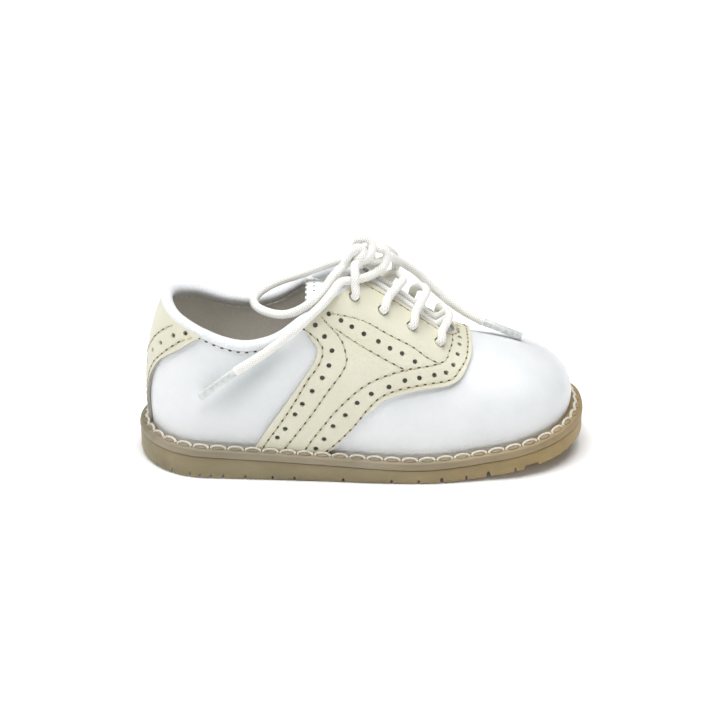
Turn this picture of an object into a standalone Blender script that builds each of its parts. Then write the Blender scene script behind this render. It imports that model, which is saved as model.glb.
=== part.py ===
"""A toddler's saddle shoe for the right foot, standing empty on its sole.

+X points to the toe, +Y to the inner side of the foot and +Z up. The origin lies on the floor under the
middle of the sole. One function, last_point, gives the surface of the last on which the shoe is made, and
the upper, the saddle, the counter, the binding and the tongue all take their shape from it.
"""

from math import cos, pi, radians, sin

import bmesh
import bpy
from mathutils import Matrix, Vector

# Sole
SOLE_LENGTH = 0.142
HEEL_WIDTH = 0.0506
BALL_WIDTH = 0.0584
HEEL_STACK = 0.0108  # height of the ledge at the heel
BALL_STACK = 0.0069  # height of the ledge at the ball of the foot
LEDGE_SPRING = 0.0076  # what the ledge climbs from the ball to the tip
TOE_SPRING = 0.0065  # height of the ground edge at the tip
TOE_SWING = 0.0053  # how far the tip turns to the inner side
WELT_THICKNESS = 0.0025
SOLE_CORNER = 0.0008
TREAD_DEPTH = 0.0015
TREAD_GROOVE = 0.0012
INSOLE_PROUD = 0.0015

# Ledge of the welt outside the upper
LEDGE_HEEL = 0.0039
LEDGE_SIDE = 0.0042
LEDGE_TOE = 0.0044

# Upper
INSTEP_HEIGHT = 0.0575
TOE_HEIGHT = 0.0366
HEEL_CLOSE_HEIGHT = 0.0650  # where the curve of the heel's back would meet over the foot
WALL = 0.0016
OVERLAY = 0.0011
SEAM_GAP = 0.0003
HEEL_BULGE = 0.055
TOE_BULGE = 0.02
THROAT_GAP = 0.0100
BINDING_HEIGHT = 0.0028
BINDING_THICKNESS = 0.0026

# Tongue
TONGUE_WIDTH = 0.0260
TONGUE_THICKNESS = 0.0020
TONGUE_END_HEIGHT = 0.0570
TONGUE_END_ARCH = 0.0040
TONGUE_DROP = 0.0030  # how far its face lies below the surface of the last
TONGUE_EDGE_DROP = 0.0014  # how much further its edges lie

# Eyelets and lace
EYELET_ROWS = 4
EYELET_PITCH = 0.0087
EYELET_EDGE = 0.0064  # from the edge of the throat to the middle of a hole
EYELET_HOLE = 0.0036
LACE_DIAMETER = 0.0027
AGLET_DIAMETER = 0.0024
AGLET_NEAR_LENGTH = 0.0140
AGLET_FAR_LENGTH = 0.0130

# Places along the shoe, as shares of its length from the back of the heel
HEEL_CENTRE = 0.17
TOE_CENTRE = 0.72
NOSE = 0.78
BALL = 0.62
BINDING_END = 0.478
THROAT_TOP = 0.496
THROAT_END_START = 0.672
THROAT_END = 0.703
FIRST_EYELET = 0.666
TONGUE_FRONT = 0.715
TONGUE_FREE = 0.465
TONGUE_END = 0.377

# How finely the last is divided
HEEL_COLUMNS = 7
COLLAR_COLUMNS = 9
THROAT_COLUMNS = 6
VAMP_COLUMNS = 2
TOE_COLUMNS = 9
ROWS = 10
CORD_STEP = 0.0028
BINDING_SIDES = 8
TONGUE_ROWS = 12
TONGUE_STRIPS = 8

NEAR, FAR = -1, 1  # outer and inner side of the foot

# Half widths of the sole: at is a share of the length, the others are shares of half the ball's width
OUTLINE = (
    # at, outer, inner
    (0.17, 0.867, 0.867),
    (0.29, 0.893, 0.860),
    (0.42, 0.931, 0.868),
    (0.54, 0.975, 0.935),
    (0.64, 1.000, 0.985),
    (0.70, 0.990, 1.000),
    (0.78, 0.955, 0.965),
)

# Crown of the last: height as a share of the instep's plus a share of the toe's, and fullness of the section
CROWN = (
    # at, instep, toe, fullness
    (0.165, 1.125, 0.0, 2.0),
    (0.197, 1.176, 0.0, 2.0),
    (0.246, 1.275, 0.0, 2.0),
    (0.303, 1.325, 0.0, 2.0),
    (0.359, 1.285, 0.0, 2.0),
    (0.472, 1.076, 0.0, 2.05),
    (0.521, 0.997, 0.0, 2.1),
    (0.589, 0.698, 0.28, 2.2),
    (0.643, 0.415, 0.56, 2.3),
    (0.701, 0.145, 0.84, 2.4),
    (0.746, 0.0, 1.0, 2.5),
    (0.803, 0.0, 0.975, 2.5),
    (0.901, 0.0, 0.965, 2.5),
    (1.0, 0.0, 0.93, 2.5),
)
SHOULDER = 2.2

# Top line of the collar: height as a share of the instep's
COLLAR = (
    # at, height
    (0.059, 0.936),
    (0.074, 0.923),
    (0.097, 0.887),
    (0.127, 0.856),
    (0.162, 0.819),
    (0.197, 0.788),
    (0.246, 0.770),
    (0.285, 0.786),
    (0.321, 0.821),
    (0.368, 0.903),
    (0.394, 0.945),
    (0.420, 0.988),
    (0.446, 1.016),
    (0.478, 1.032),
    (0.560, 1.035),
)


def between(table, at, column):
    """The value of a table's column at a place, on a smooth curve through its rows."""
    places = [row[0] for row in table]
    values = [row[column] for row in table]
    if at <= places[0]:
        return values[0]
    if at >= places[-1]:
        return values[-1]
    k = max(i for i in range(len(places) - 1) if places[i] <= at)

    def slope(i):
        low, high = max(i - 1, 0), min(i + 1, len(places) - 1)
        return (values[high] - values[low]) / (places[high] - places[low])

    span = places[k + 1] - places[k]
    u = (at - places[k]) / span
    rise = (2 * u**3 - 3 * u**2 + 1) * values[k] + (3 * u**2 - 2 * u**3) * values[k + 1]
    return rise + span * ((u**3 - 2 * u**2 + u) * slope(k) + (u**3 - u**2) * slope(k + 1))


def x_of(at):
    return (at - 0.5) * SOLE_LENGTH


def share_of(x):
    return x / SOLE_LENGTH + 0.5


def ledge_height(at):
    """Height of the top of the welt."""
    fall = min(at / BALL, 1.0)
    climb = max(at - 0.55, 0.0) / 0.45
    return HEEL_STACK + (BALL_STACK - HEEL_STACK) * fall + LEDGE_SPRING * climb**2


def ground_height(at):
    """Height of the bottom of the sole, which leaves the floor ahead of the ball."""
    return TOE_SPRING * (max(at - 0.60, 0.0) / 0.40) ** 2


def half_width(at, side):
    """Half width of the sole, measured from the middle line."""
    column = 1 if side == NEAR else 2
    half_ball = BALL_WIDTH / 2
    heel = HEEL_WIDTH / 2
    if at < HEEL_CENTRE:
        return heel * max(0.0, 1 - ((HEEL_CENTRE - at) / HEEL_CENTRE) ** 2) ** 0.5
    if at > NOSE:
        over = (at - NOSE) / (1 - NOSE)
        return half_ball * OUTLINE[-1][column] * max(0.0, 1 - over**2.4) ** (1 / 2.4)
    blend = min(1.0, (at - HEEL_CENTRE) / 0.30)
    width = half_ball * between(OUTLINE, at, column)
    return width + (1 - blend) * (heel - half_ball * OUTLINE[0][column])


def middle_line(at):
    """How far the middle line has turned to the inner side, less the shift that centres the whole sole."""
    return TOE_SWING * (max(at - 0.5, 0.0) / 0.5) ** 2 - WIDTH_SHIFT


def edge_reach(side):
    places = [0.5 + 0.01 * k for k in range(40)]
    return max(side * TOE_SWING * ((at - 0.5) / 0.5) ** 2 + half_width(at, side) for at in places)


WIDTH_SHIFT = (edge_reach(FAR) - edge_reach(NEAR)) / 2


def stations():
    """Places of the columns along one side, from the back of the heel to the tip of the toe."""
    heel = [HEEL_CENTRE * (1 - cos(pi / 2 * k / HEEL_COLUMNS)) for k in range(HEEL_COLUMNS)]
    side = []
    stretches = (
        (HEEL_CENTRE, BINDING_END, COLLAR_COLUMNS),
        (BINDING_END, THROAT_TOP, 1),
        (THROAT_TOP, THROAT_END, THROAT_COLUMNS),
        (THROAT_END, NOSE, VAMP_COLUMNS),
    )
    for start, end, count in stretches:
        side += [start + (end - start) * k / count for k in range(count)]
    turns = [pi / 2 * k / TOE_COLUMNS for k in range(TOE_COLUMNS + 1)]
    toe = [NOSE + (1 - NOSE) * sin(turn) ** (2 / 2.4) for turn in turns]
    return heel + side + toe


def centre_of(at):
    """The point of the middle line from which a column starts: all of the toe's share one, as the heel's do."""
    held = min(max(at, HEEL_CENTRE), TOE_CENTRE)
    return Vector((x_of(held), middle_line(held)))


def rim_point(at, side, inset=0.0):
    """A point of the sole's outline, moved in by some distance towards its column's centre."""
    point = Vector((x_of(at), middle_line(at) + side * half_width(at, side)))
    inward = (centre_of(at) - point).normalized()
    return point + inward * inset


def ledge_width(at):
    if at < HEEL_CENTRE:
        return LEDGE_SIDE + (LEDGE_HEEL - LEDGE_SIDE) * (1 - at / HEEL_CENTRE)
    if at > TOE_CENTRE:
        return LEDGE_SIDE + (LEDGE_TOE - LEDGE_SIDE) * (at - TOE_CENTRE) / (1 - TOE_CENTRE)
    return LEDGE_SIDE


def feather_point(at, side, inset=0.0):
    """Where the upper meets the welt."""
    return rim_point(at, side, ledge_width(at) + inset)


def crown_height(at):
    return between(CROWN, at, 1) * INSTEP_HEIGHT + between(CROWN, at, 2) * TOE_HEIGHT


def last_point(at, side, turn):
    """A point of the last: turn runs from 0 at the feather line to 1 at the crown."""
    centre = centre_of(at)
    feather = feather_point(at, side)
    fullness = between(CROWN, at, 3)
    angle = turn * pi / 2
    rise = max(sin(angle), 0.0) ** (2 / SHOULDER)
    bulge = HEEL_BULGE if at < BALL else HEEL_BULGE + (TOE_BULGE - HEEL_BULGE) * (at - BALL) / (1 - BALL)
    reach = max(cos(angle), 0.0) ** (2 / fullness) * (1 + bulge * sin(pi * rise))
    spot = centre + (feather - centre) * reach
    foot = ledge_height(at) + SEAM_GAP
    if at < HEEL_CENTRE:
        out = (feather - centre).normalized()
        crown = HEEL_CLOSE_HEIGHT + (crown_height(HEEL_CENTRE) - HEEL_CLOSE_HEIGHT) * out.y**2
    else:
        crown = crown_height(share_of(spot.x))
    return Vector((spot.x, spot.y, foot + (crown - foot) * rise))


def normal_at(at, side, turn):
    """The direction out of the last at one of its points."""
    step = 0.004
    along = last_point(min(at + step, 1.0), side, turn) - last_point(max(at - step, 0.0), side, turn)
    up = last_point(at, side, min(turn + step, 1.0)) - last_point(at, side, max(turn - step, 0.0))
    normal = along.cross(up) * -side
    if normal.length < 1e-12:
        return Vector((0.0, 0.0, 1.0))
    return normal.normalized()


def turn_where(reached):
    """The turn at which a test along a column first comes true."""
    low, high = 0.0, 1.0
    for _ in range(40):
        middle = (low + high) / 2
        if reached(middle):
            high = middle
        else:
            low = middle
    return high


def collar_height(x):
    return between(COLLAR, share_of(x), 1) * INSTEP_HEIGHT


def throat_half_gap(at):
    """Half the width of the throat, which ends in a half round over the vamp."""
    if at >= THROAT_END:
        return 0.0
    over = max(at - THROAT_END_START, 0.0) / (THROAT_END - THROAT_END_START)
    return THROAT_GAP / 2 * (1 - over**2) ** 0.5


def turn_below(at, side, start, distance):
    """The turn at which a column is a given distance under one of its points."""
    above = last_point(at, side, start)
    return turn_where(
        lambda turn: turn >= start or (last_point(at, side, turn) - above).length <= distance
    )


def binding_turn(at, side):
    """Where a column reaches the top of the binding."""

    def reached(turn):
        point = last_point(at, side, turn)
        return point.z >= collar_height(point.x)

    return turn_where(reached)


def top_turn(at, side):
    """Where a column of the upper ends: under the binding, at the edge of the throat or at the crown."""
    if at >= THROAT_END:
        return 1.0
    if at >= THROAT_TOP:
        gap = throat_half_gap(at)
        middle = middle_line(at)
        return turn_where(lambda turn: side * (last_point(at, side, turn).y - middle) <= gap)
    return turn_below(at, side, binding_turn(at, side), BINDING_HEIGHT + 2 * SEAM_GAP)


def loop_columns():
    """Every column round the shoe as a place and a side: up the outer side to the toe and back down the inner."""
    places = stations()
    outer = [(at, NEAR) for at in places]
    inner = [(at, FAR) for at in reversed(places[1:-1])]
    return outer + inner


def new_object(name, mesh, colour, roughness):
    material = bpy.data.materials.new(name)
    material.use_nodes = True
    shader = material.node_tree.nodes["Principled BSDF"]
    shader.inputs["Base Color"].default_value = (*colour, 1.0)
    shader.inputs["Roughness"].default_value = roughness
    mesh.materials.append(material)
    obj = bpy.data.objects.new(name, mesh)
    shoe.objects.link(obj)
    return obj


def mesh_from(name, vertices, faces):
    mesh = bpy.data.meshes.new(name)
    mesh.from_pydata([tuple(v) for v in vertices], [], faces)
    tidy = bmesh.new()
    tidy.from_mesh(mesh)
    bmesh.ops.remove_doubles(tidy, verts=tidy.verts, dist=1e-6)
    bmesh.ops.recalc_face_normals(tidy, faces=tidy.faces)
    tidy.to_mesh(mesh)
    tidy.free()
    return mesh


def solid_between(name, loops, ring=False):
    """A closed solid through loops that go round the shoe: a ring, or a slab with its ends closed across."""
    count = len(loops[0])
    vertices = [vertex for loop in loops for vertex in loop]
    steps = len(loops) if ring else len(loops) - 1
    faces = []
    for level in range(steps):
        low, high = level * count, (level + 1) % len(loops) * count
        for k in range(count):
            after = (k + 1) % count
            faces.append((low + k, low + after, high + after, high + k))
    if not ring:
        for level in (0, len(loops) - 1):
            first = level * count
            for k in range(count // 2):
                strip = (first + k, first + k + 1, first + (count - k - 1) % count, first + (count - k) % count)
                faces.append(tuple(dict.fromkeys(strip)))
    return mesh_from(name, vertices, faces)


def solidify(obj, thickness, outward):
    shell = obj.modifiers.new("thickness", "SOLIDIFY")
    shell.thickness = thickness
    shell.offset = 1.0 if outward else -1.0
    shell.use_even_offset = True


def boolean(obj, cutter, operation):
    cut = obj.modifiers.new(cutter.name, "BOOLEAN")
    cut.operation = operation
    cut.object = cutter


def smooth(obj):
    obj.data.shade_smooth()


def last_sheet(name, offset):
    """The upper's open surface on the last, moved out by a distance: feather line to top line, toe closed."""
    columns = loop_columns()
    vertices = []
    for at, side in columns:
        top = top_turn(at, side)
        for row in range(ROWS + 1):
            turn = top * row / ROWS
            vertices.append(last_point(at, side, turn) + normal_at(at, side, turn) * offset)
    faces = []
    for k in range(len(columns)):
        here, after = k * (ROWS + 1), (k + 1) % len(columns) * (ROWS + 1)
        for row in range(ROWS):
            low, high = here + row, after + row
            faces += [(low, high, high + 1), (low, high + 1, low + 1)]
    return mesh_from(name, vertices, faces)


def make_outsole():
    bottom, corner, top = [], [], []
    for at, side in loop_columns():
        ground = ground_height(at)
        inside = rim_point(at, side, SOLE_CORNER)
        outline = rim_point(at, side)
        bottom.append((*inside, ground))
        corner.append((*outline, ground + SOLE_CORNER))
        top.append((*outline, ledge_height(at) - WELT_THICKNESS - SEAM_GAP))
    mesh = solid_between("outsole", [bottom, corner, top])
    return new_object("outsole", mesh, (0.40, 0.31, 0.20), 0.55)


# The tread's cross grooves: middle as a share of the length, width as a share of the usual groove's
TREAD = (
    # at, width
    (0.046, 1.0),
    (0.082, 1.0),
    (0.123, 1.0),
    (0.144, 0.8),
    (0.169, 0.8),
    (0.197, 1.0),
    (0.245, 1.0),
    (0.306, 1.0),
    (0.354, 1.0),
    (0.461, 1.0),
    (0.566, 1.0),
    (0.626, 1.0),
    (0.676, 1.0),
    (0.730, 1.0),
    (0.779, 1.0),
    (0.838, 1.0),
    (0.8745, 4.4),
)


def make_tread_cutters():
    """One box for each groove, across the whole sole and tilted with its bottom at the toe."""
    for number, (at, width) in enumerate(TREAD, 1):
        bpy.ops.mesh.primitive_cube_add(size=1.0)
        groove = bpy.context.object
        groove.name = f"groove_cutter_{number:02d}"
        rise = ground_height(at + 0.01) - ground_height(at - 0.01)
        groove.rotation_euler.y = -rise / (0.02 * SOLE_LENGTH)
        groove.scale = (TREAD_GROOVE * width, BALL_WIDTH * 1.4, TREAD_DEPTH * 2)
        groove.location = (x_of(at), 0.0, ground_height(at))
        as_cutter(groove)
        yield groove


def as_cutter(obj):
    for collection in list(obj.users_collection):
        collection.objects.unlink(obj)
    cutters.objects.link(obj)
    obj.hide_render = True
    obj.display_type = "WIRE"


def make_welt():
    inset = WALL + SEAM_GAP
    outer_low, outer_high, inner_high, inner_low = [], [], [], []
    for at, side in loop_columns():
        high = ledge_height(at)
        low = high - WELT_THICKNESS
        outer_low.append((*rim_point(at, side), low))
        outer_high.append((*rim_point(at, side), high))
        inner_high.append((*feather_point(at, side, inset), high))
        inner_low.append((*feather_point(at, side, inset), low))
    mesh = solid_between("welt", [outer_low, outer_high, inner_high, inner_low], ring=True)
    return new_object("welt", mesh, (0.42, 0.33, 0.21), 0.5)


def make_insole():
    inset = WALL + 2 * SEAM_GAP
    low, high = [], []
    for at, side in loop_columns():
        spot = feather_point(at, side, inset)
        low.append((*spot, ledge_height(at) - WELT_THICKNESS))
        high.append((*spot, ledge_height(at) + INSOLE_PROUD))
    return new_object("insole", solid_between("insole", [low, high]), (0.25, 0.22, 0.19), 0.8)


def make_upper():
    upper = new_object("upper", last_sheet("upper", 0.0), (0.86, 0.87, 0.88), 0.4)
    solidify(upper, WALL, outward=False)
    return upper


def make_overlay(name):
    overlay = new_object(name, last_sheet(name, SEAM_GAP), (0.78, 0.72, 0.58), 0.45)
    solidify(overlay, OVERLAY, outward=True)
    return overlay


# Side view of the saddle: at is a share of the sole's length, height a share of the instep's
SADDLE_OUTLINE = (
    (0.240, 0.070),
    (0.273, 0.187),
    (0.311, 0.341),
    (0.346, 0.478),
    (0.377, 0.597),
    (0.392, 0.657),
    (0.403, 0.715),
    (0.405, 0.757),
    (0.399, 0.797),
    (0.386, 0.828),
    (0.366, 0.858),
    (0.335, 0.890),
    (0.335, 1.300),
    (0.741, 1.300),
    (0.741, 0.650),
    (0.738, 0.625),
    (0.730, 0.595),
    (0.719, 0.564),
    (0.707, 0.541),
    (0.692, 0.527),
    (0.660, 0.521),
    (0.622, 0.517),
    (0.579, 0.498),
    (0.550, 0.470),
    (0.520, 0.411),
    (0.497, 0.358),
    (0.476, 0.287),
    (0.438, 0.171),
    (0.410, 0.070),
)

# Lower edge of the heel counter: degrees round from the back of the heel, height as a share of the instep's.
# It runs down to the welt at the corner, and under the back from there.
COUNTER_CORNER = 14
COUNTER_BOTTOM = 0.07
COUNTER_EDGE = (
    (15, 0.309),
    (24, 0.453),
    (32, 0.534),
    (40, 0.597),
    (47, 0.631),
    (60, 0.685),
    (75, 0.747),
    (90, 0.830),
)

# The lace. The routes are in millimetres, x to the toe, y to the inner side, z up from the floor.
BARS = (
    # lean to the toe, height over the saddle at the middle
    (0.0033, 0.0030),
    (0.0047, 0.0066),
    (0.0062, 0.0048),
)
BAR_CLEARANCE = 0.0019
TOP_BAR = ((-1.9, -13.2, 59.6), (-1.6, -13.2, 62.2), (-1.0, -9.4, 63.8), (-0.4, -3.0, 62.4), (-0.4, 3.0, 62.4))
TOP_BAR_FAR = ((-1.0, 9.0, 62.0), (-1.9, 12.6, 59.2))
STRANDS = (-0.0018, 0.0018)
KNOT_LOOP = (
    (-2.8, -4.6, 66.2),
    (-2.2, -4.6, 69.2),
    (1.4, -3.2, 71.4),
    (5.0, -1.8, 70.2),
    (6.4, -1.0, 67.0),
    (4.6, -2.4, 65.0),
    (1.4, -4.4, 65.2),
)
KNOT_FRONT = ((-0.8, -1.2, 66.8), (-1.0, -5.6, 67.2), (2.4, -4.4, 68.4), (3.8, 0.6, 67.4))
NEAR_LOOP = (
    (-4.4, -1.8, 64.4),
    (-9.8, -2.0, 62.6),
    (-15.3, -2.4, 60.6),
    (-20.8, -3.2, 58.9),
    (-26.1, -4.4, 57.4),
    (-30.2, -5.8, 55.6),
    (-32.9, -7.6, 53.6),
    (-32.6, -10.0, 51.8),
    (-29.2, -12.6, 50.8),
    (-24.1, -15.2, 50.9),
    (-19.2, -17.4, 53.2),
    (-15.0, -17.8, 56.3),
    (-11.8, -15.2, 58.8),
    (-8.9, -11.4, 61.6),
    (-6.4, -8.4, 63.4),
    (-4.6, -6.4, 64.4),
)
FAR_LOOP = (
    (5.6, 2.6, 66.4),
    (8.2, 5.4, 64.6),
    (10.3, 9.4, 61.0),
    (10.8, 14.0, 55.8),
    (9.4, 18.6, 50.0),
    (6.6, 21.8, 45.4),
    (3.6, 23.0, 43.0),
    (2.0, 22.4, 45.0),
    (2.6, 19.6, 50.4),
    (3.0, 14.8, 56.6),
    (3.0, 9.0, 62.0),
    (2.4, 4.6, 65.0),
)
NEAR_END = (
    (7.9, -0.4, 64.4),
    (6.8, -2.0, 61.6),
    (4.2, -4.8, 60.6),
    (1.2, -8.2, 60.4),
    (-2.6, -10.4, 60.3),
    (-6.3, -12.8, 60.6),
    (-8.4, -16.0, 59.0),
    (-11.4, -18.8, 56.2),
    (-15.2, -20.9, 53.0),
    (-19.0, -22.8, 50.0),
    (-23.6, -23.8, 46.4),
    (-28.7, -24.3, 42.4),
    (-33.4, -24.5, 39.2),
    (-38.1, -24.7, 36.2),
)
FAR_END = (
    (8.8, 2.2, 63.6),
    (10.6, 5.0, 61.4),
    (13.4, 8.4, 58.6),
    (17.0, 10.0, 55.6),
    (20.4, 10.4, 52.2),
    (24.4, 10.4, 48.2),
    (28.6, 9.8, 44.8),
    (32.8, 9.2, 42.0),
    (36.3, 8.6, 40.2),
    (38.6, 8.2, 39.1),
)
AGLET_GAP = 0.0004


def make_side_cutter(name, outline):
    """A prism through both sides of the shoe from its outline in the side view."""
    half = BALL_WIDTH
    vertices = []
    for y in (-half, half):
        vertices += [(x_of(at), y, height * INSTEP_HEIGHT) for at, height in outline]
    count = len(outline)
    faces = [tuple(range(count)), tuple(range(count, 2 * count))]
    faces += [(k, (k + 1) % count, count + (k + 1) % count, count + k) for k in range(count)]
    prism = bpy.data.objects.new(name, mesh_from(name, vertices, faces))
    as_cutter(prism)
    return prism


def make_counter_cutter():
    """A wedge that opens from the middle of the heel, with the counter's lower edge as its bottom."""
    turns = [COUNTER_CORNER, COUNTER_CORNER + 1] + list(range(COUNTER_CORNER + 5, 91, 4))
    heights = [COUNTER_BOTTOM] + [between(COUNTER_EDGE, turn, 1) for turn in turns[1:]]
    edge = list(zip(turns, heights))
    edge = [(-turn, height) for turn, height in reversed(edge)] + [(0, COUNTER_BOTTOM)] + edge
    centre = Vector((x_of(HEEL_CENTRE), middle_line(HEEL_CENTRE)))
    inner, outer = HEEL_WIDTH * 0.24, HEEL_WIDTH * 0.56
    rings = []
    for turn, height in edge:
        out = Vector((-cos(radians(turn)), sin(radians(turn))))
        near, far = centre + out * inner, centre + out * outer
        low, high = height * INSTEP_HEIGHT, INSTEP_HEIGHT * 1.5
        rings.append([(*near, low), (*far, low), (*far, high), (*near, high)])
    wedge = bpy.data.objects.new("counter_cutter", sweep_mesh("counter_cutter", rings))
    as_cutter(wedge)
    return wedge


def sweep_mesh(name, rings):
    """A closed solid through like rings, with its two ends closed."""
    count = len(rings[0])
    vertices = [vertex for ring in rings for vertex in ring]
    faces = [tuple(range(count)), tuple(range(len(vertices) - count, len(vertices)))]
    for level in range(len(rings) - 1):
        low, high = level * count, (level + 1) * count
        faces += [(low + k, low + (k + 1) % count, high + (k + 1) % count, high + k) for k in range(count)]
    return mesh_from(name, vertices, faces)


def collar_columns():
    """The bound columns, from the outer corner of the throat round the heel to the inner corner."""
    places = [at for at in stations() if at <= BINDING_END + 1e-6]
    return [(at, NEAR) for at in reversed(places)] + [(at, FAR) for at in places[1:]]


def make_binding():
    rings = []
    for at, side in collar_columns():
        turn = turn_below(at, side, binding_turn(at, side), BINDING_HEIGHT / 2)
        out = normal_at(at, side, turn)
        up = last_point(at, side, turn + 0.01) - last_point(at, side, turn - 0.01)
        up = (up - out * up.dot(out)).normalized()
        middle = last_point(at, side, turn) - out * WALL / 2
        angles = [2 * pi * k / BINDING_SIDES for k in range(BINDING_SIDES)]
        wide, high = BINDING_THICKNESS / 2, BINDING_HEIGHT / 2
        rings.append([middle + out * wide * cos(a) + up * high * sin(a) for a in angles])
    mesh = sweep_mesh("collar_binding", rings)
    smooth(new_object("collar_binding", mesh, (0.88, 0.88, 0.88), 0.7))


def last_height(at, y):
    """Height of the last over a point of a straight station."""
    side = NEAR if y < 0 else FAR
    middle = middle_line(at)
    turn = turn_where(lambda turn: side * (last_point(at, side, turn).y - middle) <= abs(y))
    return last_point(at, side, turn).z


def tongue_point(at, across):
    """A point of the tongue's face: it follows the last under the laces and flattens where it runs free."""
    y = across * TONGUE_WIDTH / 2
    height = last_height(max(at, TONGUE_FREE), y) - TONGUE_DROP - TONGUE_EDGE_DROP * across**2
    if at < TONGUE_FREE:
        free = ((TONGUE_FREE - at) / (TONGUE_FREE - TONGUE_END)) ** 2
        height += free * (TONGUE_END_HEIGHT - TONGUE_END_ARCH * across**2 - height)
    return Vector((x_of(at), middle_line(at) + y, height))


def make_tongue():
    along, across = TONGUE_ROWS, TONGUE_STRIPS
    vertices = []
    for row in range(along + 1):
        at = TONGUE_END + (TONGUE_FRONT - TONGUE_END) * row / along
        vertices += [tongue_point(at, 2 * k / across - 1) for k in range(across + 1)]
    faces = []
    for row in range(along):
        for k in range(across):
            here = row * (across + 1) + k
            faces.append((here, here + across + 1, here + across + 2, here + 1))
    tongue = new_object("tongue", mesh_from("tongue", vertices, faces), (0.86, 0.87, 0.88), 0.45)
    if tongue.data.polygons[0].normal.z < 0:
        tongue.data.flip_normals()
    solidify(tongue, TONGUE_THICKNESS, outward=False)
    smooth(tongue)


def eyelet(number, side):
    """Where a lace hole's axis meets the saddle's face, and the direction out of it."""
    at = FIRST_EYELET - number * EYELET_PITCH / SOLE_LENGTH
    distance = THROAT_GAP / 2 + EYELET_EDGE
    middle = middle_line(at)
    turn = turn_where(lambda turn: side * (last_point(at, side, turn).y - middle) <= distance)
    out = normal_at(at, side, turn)
    return last_point(at, side, turn) + out * (SEAM_GAP + OVERLAY), out


def make_eyelet_cutter():
    drills = bmesh.new()
    for number in range(EYELET_ROWS):
        for side in (NEAR, FAR):
            place, out = eyelet(number, side)
            pose = Matrix.Translation(place) @ out.to_track_quat("Z", "Y").to_matrix().to_4x4()
            radius = EYELET_HOLE / 2
            bmesh.ops.create_cone(
                drills, cap_ends=True, segments=10, radius1=radius, radius2=radius, depth=0.010, matrix=pose
            )
    mesh = bpy.data.meshes.new("eyelet_cutter")
    drills.to_mesh(mesh)
    drills.free()
    cutter = bpy.data.objects.new("eyelet_cutter", mesh)
    as_cutter(cutter)
    return cutter


def smooth_route(points):
    """Points a short step apart on a smooth curve through a route's own points."""
    points = [Vector(point) for point in points]
    ends = [points[0] * 2 - points[1]] + points + [points[-1] * 2 - points[-2]]
    dense = []
    for before, start, end, after in zip(ends, ends[1:], ends[2:], ends[3:]):
        for k in range(20):
            u = k / 20
            bend = (2 * before - 5 * start + 4 * end - after) * u**2
            twist = (3 * start - before - 3 * end + after) * u**3
            dense.append((2 * start + (end - before) * u + bend + twist) / 2)
    dense.append(points[-1])
    lengths = [0.0]
    for start, end in zip(dense, dense[1:]):
        lengths.append(lengths[-1] + (end - start).length)
    count = max(2, round(lengths[-1] / CORD_STEP))
    route, k = [], 0
    for step in range(count + 1):
        goal = lengths[-1] * step / count
        while k < len(dense) - 2 and lengths[k + 1] < goal:
            k += 1
        share = (goal - lengths[k]) / max(lengths[k + 1] - lengths[k], 1e-9)
        route.append(dense[k].lerp(dense[k + 1], min(share, 1.0)))
    return route


def millimetres(route):
    return [Vector(point) / 1000 for point in route]


def make_tube(name, route, diameter=LACE_DIAMETER, colour=(0.85, 0.83, 0.76)):
    """A plain cord: a round tube on a smooth curve through its route."""
    curve = bpy.data.curves.new(name, "CURVE")
    curve.dimensions = "3D"
    curve.bevel_depth = diameter / 2
    curve.bevel_resolution = 2
    curve.use_fill_caps = True
    spline = curve.splines.new("POLY")
    spline.points.add(len(route) - 1)
    for point, place in zip(spline.points, route):
        point.co = (*place, 1.0)
    spline.use_smooth = True
    return new_object(name, curve, colour, 0.8)


def as_mesh(tube):
    """The tube as a welded mesh, so that it can be cut or joined."""
    graph = bpy.context.evaluated_depsgraph_get()
    mesh = bpy.data.meshes.new_from_object(tube.evaluated_get(graph))
    weld = bmesh.new()
    weld.from_mesh(mesh)
    bmesh.ops.remove_doubles(weld, verts=weld.verts, dist=1e-6)
    weld.to_mesh(mesh)
    weld.free()
    name, matrix = tube.name, tube.matrix_world.copy()
    bpy.data.objects.remove(tube)
    solid = bpy.data.objects.new(name, mesh)
    solid.matrix_world = matrix
    shoe.objects.link(solid)
    return solid


def join(first, others):
    """Unites cord solids into one, and keeps the others as hidden helpers."""
    for other in others:
        as_cutter(other)
        boolean(first, other, "UNION")


def bar_route(number):
    """A lace bar: out of one hole, over the throat with a lean to the toe, and into the hole opposite."""
    lean, rise = BARS[number]
    near, near_out = eyelet(number, NEAR)
    far, far_out = eyelet(number, FAR)
    route = [near - near_out * 0.001, near + near_out * 0.0012]
    for share in (-0.86, -0.6, -0.3, 0.0, 0.3, 0.6, 0.86):
        spot = near.lerp(far, (share + 1) / 2)
        x = spot.x + lean * (1 - abs(share) ** 1.6)
        face = last_height(share_of(x), spot.y - middle_line(share_of(x)))
        height = BAR_CLEARANCE + (rise - BAR_CLEARANCE) * (1 - share**2)
        lift = 1.3 * (SEAM_GAP + OVERLAY)
        route.append(Vector((x, spot.y, face + lift + height)))
    return route + [far + far_out * 0.0012, far - far_out * 0.001]


def strand_route(y):
    """A lengthwise run of lace in the throat, which climbs into the front bar."""
    front = x_of(FIRST_EYELET) + BARS[0][0]
    places = [x_of(THROAT_TOP) + 0.006 + (front - 0.010 - x_of(THROAT_TOP)) * k / 4 for k in range(5)]
    route = [Vector((x, middle_line(share_of(x)) + y, last_height(share_of(x), y) + 0.0006)) for x in places]
    end = Vector((front, middle_line(share_of(front)) + y, last_height(share_of(front), y)))
    lift = 1.3 * (SEAM_GAP + OVERLAY) + BARS[0][1]
    return route + [end + Vector((0.0, 0.0, lift))]


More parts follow.
